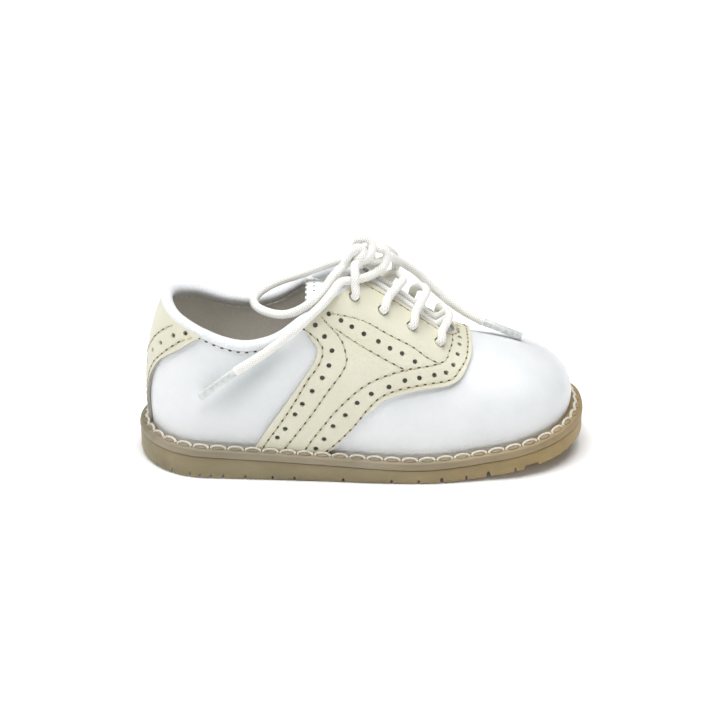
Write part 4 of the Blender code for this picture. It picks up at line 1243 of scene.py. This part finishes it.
def swept(name, centres, wides, highs, sides):
    """A closed tube of oval rings, rounded off at both ends."""
    caps = ((0.0, 0.02), (0.25, 0.55), (0.5, 0.8), (0.75, 0.95))
    way = unit(np.gradient(centres, axis=0))
    radius = np.linalg.norm(wides[0])
    angle = 2 * pi * np.arange(sides) / sides
    rings = []
    for share, size in caps:
        rings.append((centres[0] - way[0] * radius * (1 - share), wides[0] * size, highs[0] * size))
    rings += list(zip(centres, wides, highs))
    for share, size in caps[::-1]:
        rings.append((centres[-1] + way[-1] * radius * (1 - share), wides[-1] * size, highs[-1] * size))
    grid = np.array([c + np.cos(angle)[:, None] * w + np.sin(angle)[:, None] * h for c, w, h in rings])
    return closed_tube(name, grid.transpose(1, 0, 2))


# The real strip is a little taller than the CAD's
STRIP_HEIGHT, STRIP_DEPTH = BINDING_HEIGHT + 0.7 * MM, 1.85 * MM
middle, out, up = collar_line(STRIP_HEIGHT / 2)
middle = middle - out * 0.4 * MM
strip_mesh = swept("collar_binding_strip", middle, out * STRIP_DEPTH, up * STRIP_HEIGHT / 2, 24)
dressed(add_piece("collar_binding_strip", strip_mesh, white_binding), "white_binding", "collar_binding")

# %% Sew under the binding and along the lining

below, out, _ = collar_line(BINDING_HEIGHT + 0.9 * MM)
keep = slice(4, len(below) - 4)
sew(
    "collar_stitches", [(below[keep] + out[keep] * 0.03 * MM, out[keep])], "white_leather",
    **FINE_STITCH | {"Thread": white_binding}
)
inner, out, _ = collar_line(BINDING_HEIGHT + 1.2 * MM)
inner_line = inner - out * (LEATHER_WALL + LINING_WALL + 0.22 * MM)
sew(
    "lining_stitches", [(inner_line[keep], -out[keep])], "lining",
    **FINE_STITCH | {
        "Stitch length": 1.8 * MM, "Thread width": 0.6 * MM, "Thread": white_binding, "Slot": lining_leather,
    }
)

# %% [markdown]
# ## The tongue
# The tongue is a strip of soft white leather under the laces. Its free end stands out of the throat and is cut with
# pinking shears, and a row of pinholes follows the cut.

# %% Shape the tongue

TONGUE_WIDTH, TONGUE_THICKNESS, TONGUE_END_HEIGHT, TONGUE_END_ARCH = 0.0260, 0.0020, 0.0570, 0.0040
TONGUE_DROP, TONGUE_EDGE_DROP = 0.0030, 0.0014
TONGUE_FRONT, TONGUE_FREE, TONGUE_END = 0.715, 0.465, 0.377


def last_heights(x, y):
    """Height of the last straight above points of the ground plan."""
    down = Vector((0, 0, -1))
    hits = [last_tree.ray_cast(Vector((a, b, 0.1)), down)[0] for a, b in zip(x, y)]
    return np.array([hit.z if hit else 0.0 for hit in hits])


def tongue_points(at, across):
    """Points of the tongue's face: it follows the last under the laces, and flattens where it runs free."""
    held = np.maximum(at, TONGUE_FREE)
    y = across * TONGUE_WIDTH / 2
    height = last_heights(x_of(held), middle_line(held) + y) - TONGUE_DROP - TONGUE_EDGE_DROP * across**2
    free = np.where(at < TONGUE_FREE, ((TONGUE_FREE - at) / (TONGUE_FREE - TONGUE_END)) ** 2, 0.0)
    height = height + free * (TONGUE_END_HEIGHT - TONGUE_END_ARCH * across**2 - height)
    inner_edge, middle = np.clip((across - 0.1) / 0.9, 0, 1) ** 2, np.clip(across + 0.6, 0, 1)
    height = height + (inner_edge * between(TONGUE_CURL, at, 1) + middle * between(TONGUE_DISH, at, 1)) * MM
    return np.stack([x_of(at), middle_line(at) + y, height], -1)


# How far the tongue's inner corner curls up from the CAD's plain shape, and how far the knot presses it down
TONGUE_CURL = ((0.377, 2.2), (0.400, 0.0), (0.425, 0.0), (0.715, 0.0))
TONGUE_DISH = ((0.377, 0.0), (0.400, -2.2), (0.425, -5.0), (0.460, -4.8), (0.500, -1.6), (0.550, 0.0), (0.715, 0.0))
TONGUE_ROWS, TONGUE_STRIPS, PINK_TEETH = 90, 72, 12
across = np.linspace(-1, 1, TONGUE_STRIPS + 1)
tooth = np.abs((across * PINK_TEETH / 2) % 1.0 - 0.5) * 2
grid = []
for share in np.linspace(0, 1, TONGUE_ROWS + 1):
    at = TONGUE_END + (TONGUE_FRONT - TONGUE_END) * share
    cut = (0.9 * MM / SOLE_LENGTH) * tooth * (1 - share) ** 12
    grid.append(tongue_points(np.full_like(across, at) + cut, across))
grid = np.array(grid)
tongue = add_piece(
    "tongue_leather", mesh_of("tongue_leather", grid.reshape(-1, 3), grid_faces(*grid.shape[:2])), tongue_leather,
    lining_leather
)
if tongue.data.polygons[0].normal.z < 0:
    tongue.data.flip_normals()
add_modifier(tongue, "SOLIDIFY", thickness=TONGUE_THICKNESS, offset=-1.0, material_offset=1, material_offset_rim=0)
add_modifier(tongue, "BEVEL", width=0.3 * MM, segments=2, limit_method="ANGLE", angle_limit=radians(60))
finished(tongue)
tongue.data.set_sharp_from_angle(angle=radians(45))
dressed(tongue, "white_leather", "tongue")
pin_across = np.linspace(-0.9, 0.9, 12)
pin_at = np.full(12, TONGUE_END + 2.8 * MM / SOLE_LENGTH)
pins = tongue_points(pin_at, pin_across)
pin_outs = unit(
    np.cross(tongue_points(pin_at + 0.003, pin_across) - pins, tongue_points(pin_at, pin_across + 0.03) - pins)
)
# Each pinhole is a small dark disc of painted shade on the tongue's face
dressed(discs("tongue_pinholes", pins + pin_outs * 0.04 * MM, pin_outs, 0.32 * MM), "lining")
print("tongue:", PINK_TEETH, "teeth,", len(pins), "pinholes")

# %% [markdown]
# ## The welt and the sole
# The welt is the rubber ledge that the upper is stitched to, and the outsole is the block below it. Both follow the
# same outline, so both are a cross-section carried round the columns. The welt's edge is rounded and stands a hair
# proud of the sole, which leaves the fine line between them.

# %% Mould the welt


def carried_round(insets, heights, rows):
    """A closed band: a cross-section of insets from the sole's outline and heights, carried round the columns."""
    grid = np.zeros((len(column_at), rows, 3))
    for row in range(rows):
        spot = rim_point(column_at, column_side, insets[row])
        grid[:, row] = np.concatenate([spot, heights[row][:, None]], -1)
    return smooth_columns(grid, 2)


top_of_welt = ledge_height(column_at)
ledge = ledge_width(column_at)
profile = (
    # inset and depth under the ledge in millimetres; the last few lie under the upper and count from there
    (0.70, 2.50, 0), (0.30, 2.50, 0), (0.06, 2.40, 0), (-0.06, 2.15, 0), (-0.10, 1.60, 0), (-0.08, 1.05, 0),
    (0.02, 0.60, 0),
    (0.22, 0.28, 0), (0.55, 0.08, 0), (0.95, 0.00, 0), (1.60, 0.00, 0), (-1.50, 0.05, 1), (-0.90, 0.12, 1),
    (-0.35, 0.30, 1),
    (0.10, 0.20, 1), (0.50, 0.00, 1), (1.30, 0.00, 1), (1.85, 0.20, 1), (1.85, 2.50, 1),
)
insets = [inset * MM + (ledge if inner else 0) for inset, _, inner in profile]
heights = [top_of_welt - depth * MM for _, depth, _ in profile]
band = carried_round(insets, heights, len(profile))
quads = [list(f) for f in grid_faces(*band.shape[:2], wrap=True)]
rows = len(profile)
quads += [
    [k * rows + rows - 1, (k + 1) % len(band) * rows + rows - 1, (k + 1) % len(band) * rows, k * rows] for k in range(
        len(band)
    )
]
welt = add_piece("welt_band", tidy(mesh_of("welt_band", band.reshape(-1, 3), quads)), welt_rubber)
welt.data.set_sharp_from_angle(angle=radians(50))
dressed(welt, "tan_rubber", "welt")

# %% [markdown]
# ### The welt's stitches
# Thick ivory thread runs round the ledge in some sixty arched stitches, and the rubber swells up under each arch.
# The same function makes a second tree for them, with a taller bow and a swelling of rubber at each step.

# %% Sew the welt


spot = rim_point(column_at, column_side, 2.15 * MM)
stitch_line = smooth_columns(np.concatenate([spot, (top_of_welt + 0.12 * MM)[:, None]], -1), 2)
stitch_line = np.concatenate([stitch_line, stitch_line[:1]])
welt_length = float(np.sum(np.linalg.norm(np.diff(stitch_line, axis=0), axis=1)))
WELT_STITCHES = round(welt_length / (5.3 * MM))
welt_pitch = welt_length / WELT_STITCHES
welt_bow = {
    "Resolution": 14, "Start": (-0.5, -0.8, -0.9), "Start Handle": (-0.6, 1.5, 1.3), "End Handle": (0.6, 1.5, 1.3),
    "End": (0.5, -0.8, -0.9),
}
values = {
    "Pitch": welt_pitch, "Stitch length": 4.7 * MM, "Thread width": 0.85 * MM, "Arch": 0.52 * MM, "Rise": 0.6 * MM,
    "Slot length": 0.8 * MM, "Slot width": 1.3 * MM, "Thread": welt_thread, "Rubber": welt_rubber, "Slot": needle_hole,
}
welt_row = stitch_tree("welt_stitch_row", "GeometryNodeCurvePrimitiveBezierSegment", welt_bow, 8, swelling=True)
upward = np.tile((0.0, 0.0, 1.0), (len(stitch_line), 1))
sew("welt_stitches", [(stitch_line, upward)], "tan_rubber", welt_row, **values)
print(WELT_STITCHES, "welt stitches,", round(welt_pitch / MM, 2), "mm apart")

# %% [markdown]
# ## The outsole
# The rubber sole is a closed block. Its underside has fine zigzag ribs, and cross grooves run right through to the
# edge, where they show as small notches that widen to the toe.

# %% Mould the sole

SOLE_CORNER = 0.0008
ground = ground_height(column_at)
high = top_of_welt - WELT_THICKNESS - 0.02 * MM
back_round = np.clip(1 - column_at / 0.10, 0, 1)
corner = SOLE_CORNER + 1.2 * MM * back_round
RIB_HEIGHT = 0.6 * MM
side_profile = [
    (corner + 6.0 * MM, ground + RIB_HEIGHT), (corner + 3.4 * MM, ground + RIB_HEIGHT), (corner + 3.0 * MM, ground),
    (corner + 1.2 * MM, ground), (corner, ground),
]
for angle in np.radians((25, 45, 65)):
    side_profile.append((corner * (1 - sin(angle)), ground + corner * (1 - cos(angle))))
side_profile.append((np.zeros_like(ground), ground + corner))
for share in (0.25, 0.5, 0.75, 0.92):
    side_profile.append((np.full_like(ground, 0.06 * MM), ground + corner + (high - ground - corner) * share))
side_profile += [
    (np.full_like(ground, 0.22 * MM), high - 0.1 * MM), (np.full_like(ground, 0.5 * MM), high),
    (np.full_like(ground, 6 * MM), high),
]
wall = carried_round([p[0] for p in side_profile], [p[1] for p in side_profile], len(side_profile))
count, rows = wall.shape[:2]
vertices = wall.reshape(-1, 3)
quads = [list(f) for f in grid_faces(count, rows, wrap=True)]
half_way = count // 2
for level in (0, rows - 1):
    for k in range(half_way):
        strip = [
            k * rows + level, (k + 1) * rows + level, (count - k - 1) % count * rows + level,
            (count - k) % count * rows + level,
        ]
        quads.append(list(dict.fromkeys(strip)))
sole_mesh = tidy(mesh_of("outsole_block", vertices, quads))
outsole = add_piece("outsole_block", sole_mesh, tan_rubber)

# %% Cut the grooves

TREAD = (
    # at, width and height in millimetres, lean
    (0.046, 1.0, 1.5, 0.3), (0.082, 1.1, 1.8, 0.3), (0.123, 1.2, 1.8, 0.3), (0.144, 1.3, 1.5, 0.3),
    (0.169, 1.4, 1.4, 0.3), (0.197, 0.9, 1.6, 0.2),
    (0.245, 1.2, 1.5, 0.3), (0.306, 0.8, 1.5, 0.0), (0.354, 1.2, 1.4, 0.0), (0.461, 1.2, 1.4, 0.0),
    (0.566, 1.2, 1.4, 0.0), (0.626, 0.9, 1.4, 0.0),
    (0.676, 1.6, 1.8, 0.0), (0.730, 1.0, 1.7, 0.0), (0.779, 1.7, 2.0, 0.0), (0.838, 1.0, 1.6, 0.1),
    (0.8745, 5.0, 1.4, 0.0),
)
work = bmesh.new()
for at, width, height, lean in TREAD:
    slope = float((ground_height(at + 0.01) - ground_height(at - 0.01)) / (0.02 * SOLE_LENGTH))
    place = Matrix.Translation((x_of(at), 0, float(ground_height(at)))) @ Matrix.Rotation(-np.arctan(slope), 4, "Y")
    top = 0.4 if width < 4 else 0.8
    outline = [
        (-width / 2 - 0.3, -1.0), (width / 2 + 0.3, -1.0), (width / 2, 0.1), (width / 2 * top + lean, height),
        (-width / 2 * top + lean, height), (-width / 2, 0.1),
    ]
    ends = [[work.verts.new(place @ Vector((x * MM, y, z * MM))) for x, z in outline] for y in (-0.045, 0.045)]
    work.faces.new(ends[0])
    work.faces.new(ends[1][::-1])
    for k in range(6):
        work.faces.new((ends[0][k], ends[1][k], ends[1][(k + 1) % 6], ends[0][(k + 1) % 6]))
bmesh.ops.recalc_face_normals(work, faces=work.faces)
groove_cutter = built("groove_cutter", work, smooth=False)
punch(outsole, groove_cutter)
bpy.data.objects.remove(groove_cutter)
dressed(outsole, "tan_rubber", "outsole")
print("outsole:", len(outsole.data.polygons), "faces with", len(TREAD), "grooves")

# %% [markdown]
# The panel between the grooves is sunk by the height of its ribs, so that they end level with the rim. Each rib is a
# zigzag line across the sole, and a short node tree gives all of them their width and height.

# %% Rib the tread


def rib_tree():
    tree, size = new_tree("tread_ribs", ("Width", "Height"), ("Rubber",))
    line = add_node(tree, "GeometryNodeMeshToCurve", {"Mesh": size["Geometry"]})
    level = add_node(tree, "GeometryNodeSetCurveNormal", {"Curve": line.outputs[0]}, mode="Z_UP")
    bar = add_node(tree, "GeometryNodeCurvePrimitiveQuadrilateral", {"Width": size["Width"], "Height": size["Height"]})
    solid = add_node(
        tree, "GeometryNodeCurveToMesh",
        {"Curve": level.outputs[0], "Profile Curve": bar.outputs[0], "Fill Caps": True}
    )
    real = add_node(tree, "GeometryNodeRealizeInstances", {"Geometry": solid.outputs[0]})
    cast = add_node(tree, "GeometryNodeSetMaterial", {"Geometry": real.outputs[0], "Material": size["Rubber"]})
    add_node(tree, "NodeGroupOutput", {"Geometry": cast.outputs[0]})
    return tree


RIB_PITCH, RIB_WIDTH, ZIGZAG_STEP, ZIGZAG_SIZE = 3.4 * MM, 1.1 * MM, 2.2 * MM, 0.9 * MM
rib_points, rib_edges = [], []
for x in np.arange(-62 * MM, 64 * MM, RIB_PITCH):
    at = share_of(x)
    if min(abs(at - groove[0]) * SOLE_LENGTH - groove[1] * MM / 2 for groove in TREAD) < 1.6 * MM:
        continue
    low, high_y = (float(middle_line(at) + side * (half_width(at, side) - 5.6 * MM)) for side in (NEAR, FAR))
    steps = max(4, int((high_y - low) / ZIGZAG_STEP))
    for k, y in enumerate(np.linspace(low, high_y, steps + 1)):
        if k:
            rib_edges.append((len(rib_points) - 1, len(rib_points)))
        spot = x + (ZIGZAG_SIZE if k % 2 else -ZIGZAG_SIZE)
        rib_points.append((spot, y, float(ground_height(share_of(spot))) + RIB_HEIGHT / 2 + 0.02 * MM))
values = {"Width": RIB_WIDTH, "Height": RIB_HEIGHT, "Rubber": tan_rubber}
ribs = dressed(grown("outsole_ribs", rib_points, rib_edges, rib_tree(), values), "tan_rubber")
print("ribs:", len(ribs.data.polygons), "faces")

# %% [markdown]
# ## The lace
# The lace is a round braided cord, 2.7 mm thick. It crosses the throat in four bars, and it is tied in a bow whose
# loops and ends lie against the shoe. Each run is a mesh tube on a smooth curve. Two families of spiral ridges in its
# rings give the plait. The routes repeat those of the CAD, in millimetres.

# %% Braid a cord

LACE_DIAMETER, AGLET_DIAMETER, AGLET_GAP = 0.0027, 0.0024, 0.0004
# A cord's rounded tip: how far on, in diameters, and how wide
CORD_TIP = ((0.12, 0.92), (0.22, 0.7), (0.27, 0.35), (0.28, 0.03))


def cord_rings(line, ring):
    """Points along a line with two directions across it that don't twist."""
    centre = even_steps(line, ring)
    way = unit(np.gradient(centre, axis=0))
    side = np.cross(way[0], (0.3, 0.2, 0.9))
    sides = []
    for direction in way:
        side = side - direction * np.dot(side, direction)
        side = side / np.linalg.norm(side)
        sides.append(side)
    return centre, np.array(sides), np.cross(way, np.array(sides))


def braided_cord(name, line, diameter=LACE_DIAMETER, relief=0.10 * MM, sides=48, ring=0.16 * MM):
    centre, across, up = cord_rings(line, ring)
    way = unit(np.gradient(centre, axis=0))
    run = np.concatenate([[0], np.cumsum(np.linalg.norm(np.diff(centre, axis=0), axis=1))])[:, None]
    angle = 2 * pi * np.arange(sides)[None] / sides
    pick = 2 * pi * run / (1.0 * MM)
    plait = np.maximum(np.cos(9 * angle + pick), np.cos(9 * angle - pick))
    radius = diameter / 2 - relief + relief * np.maximum(plait, 0.0)
    rings = centre[:, None] + radius[..., None] * (
        np.cos(angle)[..., None] * across[:, None] + np.sin(angle)[..., None] * up[:, None]
    )
    caps = []
    for end, sign in ((0, -1), (-1, 1)):
        spread = rings[end] - centre[end]
        level = [centre[end] + sign * way[end] * diameter * push + spread * size for push, size in CORD_TIP]
        caps.append(np.array(level[::-1] if sign < 0 else level))
    grid = np.concatenate([caps[0], rings, caps[1]]).transpose(1, 0, 2)
    strands = np.ones((grid.shape[1], sides))
    strands[4:-4] = np.clip(plait, 0, 1)
    return closed_tube(name, grid, 1e-7, strands.T.ravel())


def lace(name, line, *nodes):
    return dressed(add_piece(name, braided_cord(name, line), lace_fibre), "lace_textile", *nodes)


# %% Lay the bars and the strands

BARS = ((0.0033, 0.0030), (0.0047, 0.0066), (0.0062, 0.0048))
BAR_CLEARANCE = 0.0019
LIFT = 1.3 * (SEAM_GAP + OVERLAY)


def bar_line(number):
    """A bar: out of one hole, over the throat with a lean to the toe, and into the hole opposite."""
    lean, rise = BARS[number]
    near, near_out = eyelet(number, NEAR)
    far, far_out = eyelet(number, FAR)
    route = [near - near_out * 0.0015, near + near_out * 0.0012]
    for share in (-0.86, -0.6, -0.3, 0.0, 0.3, 0.6, 0.86):
        spot = near.lerp(far, (share + 1) / 2)
        x = spot.x + lean * (1 - abs(share) ** 1.6)
        face = last_heights([x], [spot.y])[0]
        height = BAR_CLEARANCE + (rise - BAR_CLEARANCE) * (1 - share**2)
        route.append(Vector((x, spot.y, face + LIFT + height)))
    return smooth_line(route + [far + far_out * 0.0012, far - far_out * 0.0015], 0.5 * MM)


def strand_line(y):
    """A lengthwise run of lace in the throat, which climbs into the front bar."""
    front = x_of(FIRST_EYELET) + BARS[0][0]
    start = x_of(THROAT_TOP)
    places = np.array([start + 0.003 + (front - 0.007 - start) * k / 4 for k in range(5)] + [front])
    sides = middle_line(share_of(places)) + y
    rise = np.array([0.0004] * 5 + [LIFT + BARS[0][1]])
    return smooth_line(np.stack([places, sides, last_heights(places, sides) + rise], -1), 0.5 * MM)


for number in range(3):
    lace(f"lace_bar_{number + 2}_cord", bar_line(number), f"lace_bar_{number + 2}")
for number, y in enumerate((-0.0029, 0.0029), 1):
    lace(f"lace_strand_{number}", strand_line(y))

TOP_BAR = (
    (-1.9, -13.2, 59.6), (-1.9, -12.6, 62.2), (-2.0, -9.2, 64.8), (-0.4, -3.0, 62.4), (-0.4, 3.0, 62.4),
    (-1.0, 9.0, 62.0), (-1.9, 12.6, 59.2)
)
near, near_out = eyelet(3, NEAR)
far, far_out = eyelet(3, FAR)
top_route = [
    near - near_out * 0.0015, near + near_out * 0.0012, *[Vector(p) * MM for p in TOP_BAR], far + far_out * 0.0012,
    far - far_out * 0.0015,
]
lace("lace_bar_1_cord", smooth_line(top_route, 0.5 * MM), "lace_bar_1")

# %% Tie the bow

KNOT_LOOP = (
    (-1.8, 0.8, 67.4), (-1.0, -1.2, 69.8), (1.4, -1.6, 70.8), (3.2, -2.4, 69.2), (3.0, -4.2, 67.0), (1.4, -5.6, 65.6),
    (-0.6, -6.0, 64.9), (-2.0, -4.4, 64.2)
)
KNOT_FRONT = (
    (-5.6, -7.6, 63.9), (-4.6, -7.0, 66.0), (-3.0, -6.2, 68.1), (-1.2, -5.2, 69.0), (0.3, -4.9, 68.2),
    (0.2, -5.8, 66.6), (-1.2, -6.2, 65.4), (-2.4, -5.0, 64.6)
)
NEAR_LOOP = (
    (-4.4, -1.8, 64.4), (-9.8, -2.0, 62.6), (-15.3, -2.4, 60.6), (-20.8, -3.2, 58.9), (-26.1, -4.4, 57.4),
    (-30.2, -5.8, 55.6), (-32.9, -7.6, 53.6), (-32.6, -10.0, 51.8),
    (-29.2, -12.6, 50.8), (-24.1, -15.2, 50.9), (-19.2, -17.4, 53.2), (-15.0, -17.8, 56.3), (-11.8, -15.2, 58.8),
    (-8.9, -11.4, 61.6), (-6.4, -8.4, 63.4), (-4.6, -6.4, 64.4),
)
KNOT_INSIDE = {
    "back": (
        (-5.2, -1.9, 64.2), (-3.2, -1.5, 65.0), (-0.6, -0.4, 66.0), (2.4, 1.0, 66.8), (5.0, 2.2, 66.7),
        (6.2, 3.2, 66.0)
    ),
    "bend": (
        (2.6, 6.0, 64.2), (2.3, 4.0, 65.4), (3.0, 1.8, 66.4), (5.2, 0.2, 66.8), (7.4, 0.2, 66.0), (8.0, -0.4, 64.4),
        (7.4, -1.2, 62.8)
    ),
    "tail": (
        (9.6, 3.4, 62.7), (8.2, 1.6, 62.9), (5.8, 0.0, 62.6), (2.8, -1.2, 62.3), (0.0, -2.4, 63.0),
        (-2.4, -4.0, 63.9), (-3.6, -5.6, 64.4), (-5.4, -7.2, 64.0)
    ),
}
FAR_LOOP = (
    (5.6, 2.6, 66.4), (8.2, 5.4, 64.6), (10.3, 9.4, 61.0), (10.8, 14.0, 55.8), (9.4, 18.6, 50.0), (6.6, 21.8, 45.4),
    (3.6, 23.0, 43.0), (2.0, 22.4, 45.0),
    (2.6, 19.6, 50.4), (3.0, 14.8, 56.6), (3.0, 9.0, 62.0), (2.4, 4.6, 65.0),
)
NEAR_END = (
    (7.9, -0.4, 64.4), (6.8, -2.0, 61.6), (4.2, -4.8, 60.6), (1.2, -8.2, 60.4), (-2.6, -10.4, 60.3),
    (-6.3, -12.8, 60.6), (-8.4, -16.0, 59.0), (-11.4, -18.8, 56.2),
    (-15.2, -20.9, 53.0), (-19.0, -22.8, 50.0), (-23.6, -23.8, 46.4), (-28.7, -24.3, 42.4), (-33.4, -24.5, 39.2),
    (-38.1, -24.7, 36.2),
)
FAR_END = (
    (8.8, 2.2, 63.6), (10.6, 5.0, 61.4), (13.4, 8.4, 58.6), (17.0, 10.0, 55.6), (20.4, 10.4, 52.2),
    (24.4, 10.4, 48.2), (28.6, 9.8, 44.8), (32.8, 9.2, 42.0),
    (36.3, 8.6, 40.2), (38.6, 8.2, 39.1),
)


def route_line(route):
    return smooth_line(np.array(route) * MM, 0.5 * MM)


def line_length(line):
    return float(np.sum(np.linalg.norm(np.diff(line, axis=0), axis=1)))


lace("lace_knot_cord", route_line(KNOT_LOOP), "lace_knot")
for name, route in {"front": KNOT_FRONT, **KNOT_INSIDE}.items():
    lace(f"lace_knot_{name}", route_line(route))
for name, route in (("near", NEAR_LOOP), ("far", FAR_LOOP)):
    line = route_line(route)
    loop = lace(f"lace_loop_{name}_cord", line, f"lace_loop_{name}")
    path = [tuple(p) for p in even_steps(line, 3 * MM)]
    print("bow loop", name, round(line_length(line) / MM, 1), "mm")

# %% [markdown]
# ### Aglets
# Each end is wrapped in a short stiff film of clear acetate, which keeps the braid from fraying. It is a thin tube
# with square-cut ends, so it is turned from a profile with very small bevels.

# %% Cap the ends


def turned(name, start, way, profile, sides=28):
    """A solid of revolution about a line: the profile gives how far along, and the radius."""
    way = way / np.linalg.norm(way)
    across = np.cross(way, (0.2, 0.9, 0.3))
    across /= np.linalg.norm(across)
    up = np.cross(way, across)
    angle = 2 * pi * np.arange(sides) / sides
    ring = np.cos(angle)[:, None] * across + np.sin(angle)[:, None] * up
    grid = np.array([start + way * along + ring * radius for along, radius in profile])
    return closed_tube(name, grid.transpose(1, 0, 2), 1e-7)


for name, route, length, aim in (
    ("near", NEAR_END, 0.0140, (-11.3, 0.5, -8.9)), ("far", FAR_END, 0.0130, (12.4, -1.7, -4.4))
):
    line = route_line(route)
    cord = lace(f"lace_end_{name}_cord", line, f"lace_end_{name}")
    onward = unit(np.array(aim))
    r = AGLET_DIAMETER / 2
    profile = (
        (-0.5, 0.92), (0.1, 0.97), (0.25, 1.0), (length / MM - 0.15, 1.0), (length / MM - 0.03, 0.95),
        (length / MM, 0.86)
    )
    start = line[-1] + onward * AGLET_GAP
    aglet = add_piece(
        f"aglet_{name}_film", turned(f"aglet_{name}_film", start, onward, [(a * MM, b * r) for a, b in profile]),
        aglet_film
    )
    aglet.data.set_sharp_from_angle(angle=radians(40))
    dressed(aglet, "aglet_plastic", f"aglet_{name}")
    path = [tuple(p) for p in even_steps(line, 2.5 * MM)]
    print("lace end", name, round(line_length(line) / MM, 1), "mm")

# %% [markdown]
# ## The inside
# The insole is the one CAD part that keeps its own shape, because only its top shows, deep in the shoe. It gets the
# lining's finish in a lighter, rubbed tone.

# %% Finish the insole

# Pigskin rubbed smooth underfoot: paler, with a coarser nap than the lining's
sock_leather = fibre("rubbed_pigskin_sock", "#A39D92", "#BBB5A9", 900.0, 0.7, 0.15 * MM)
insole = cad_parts["insole"]
insole.data.materials.clear()
insole.data.materials.append(sock_leather)
for slot in insole.material_slots:
    slot.material = sock_leather

# %% [markdown]
# ## Floor and light
# The shoe stands on a plain white sheet, which glows as painted light: not at all under the shoe, faintly round it
# and more far away. The strongest lamp hangs over it, a little to the front, a second one is at the upper left and a
# weak warm one fills in from the right. All are large and soft and leave a faint shadow, as in a photograph for a
# catalogue.

# %% Lay the floor and set the lamps

floor_mesh = mesh_of("floor", [(-3, -3, 0), (3, -3, 0), (3, 3, 0), (-3, 3, 0)], [(0, 1, 2, 3)])
paper, paper_tree, paper_shader, spot = new_material(
    "matt_white_paper_painted_glow", "#FBFBFB", Roughness=0.9, Specular_IOR_Level=0.1, Emission_Color=linear("#FFFFFF")
)
# Painted light: the floor glows, not at all under the shoe and more the farther out it lies
oval = add_node(paper_tree, "ShaderNodeMapping", {"Vector": spot, "Scale": (1 / 0.071, 1 / 0.030, 1.0)})
away = add_node(paper_tree, "ShaderNodeVectorMath", {0: oval.outputs[0]}, operation="LENGTH").outputs["Value"]
glow, distant = (
    add_node(paper_tree, "ShaderNodeMapRange", {"Value": away, "From Min": low, "From Max": high, "To Max": strength})
    for low, high, strength in ((0.88, 1.2, 0.22), (5.0, 12.0, 0.75))
)
both = add_node(paper_tree, "ShaderNodeMath", {0: glow.outputs[0], 1: distant.outputs[0]}, operation="ADD")
paper_tree.links.new(both.outputs[0], paper_shader.inputs["Emission Strength"])
tooth = add_node(paper_tree, "ShaderNodeTexNoise", {"Vector": spot, "Scale": 900.0, "Detail": 2.0})
whites = ((0.3, "#F9F9F9"), (0.7, "#FDFDFD"))
white = add_node(paper_tree, "ShaderNodeValToRGB", {"Fac": tooth.outputs["Fac"]}, whites).outputs["Color"]
finish(paper_tree, paper_shader, white, [(tooth.outputs["Fac"], 0.1, 0.02 * MM)])
floor = add_piece("floor", floor_mesh, paper, smooth=False)


def lamp(name, place, size, power, colour="#FFFFFF"):
    data = bpy.data.lights.new(name, "AREA")
    data.shape, data.size, data.energy, data.color = "SQUARE", size, power, linear(colour)[:3]
    light = bpy.data.objects.new(name, data)
    light.location = place
    light.rotation_euler = (Vector((0, 0, 0.03)) - Vector(place)).to_track_quat("-Z", "Y").to_euler()
    scene.collection.objects.link(light)


lamp("key", (-0.75, -0.2, 1.0), 0.8, 4.6)
lamp("fill", (0.9, -0.9, 0.6), 0.9, 0.3, "#FFF9F0")
lamp("top", (0.05, -0.12, 1.25), 1.0, 16.4)
world = bpy.data.worlds.new("studio")
world.use_nodes = True
world.node_tree.nodes["Background"].inputs["Color"].default_value = (1, 1, 1, 1)
world.node_tree.nodes["Background"].inputs["Strength"].default_value = 0.12
scene.world = world
scene.view_settings.view_transform = "Standard"
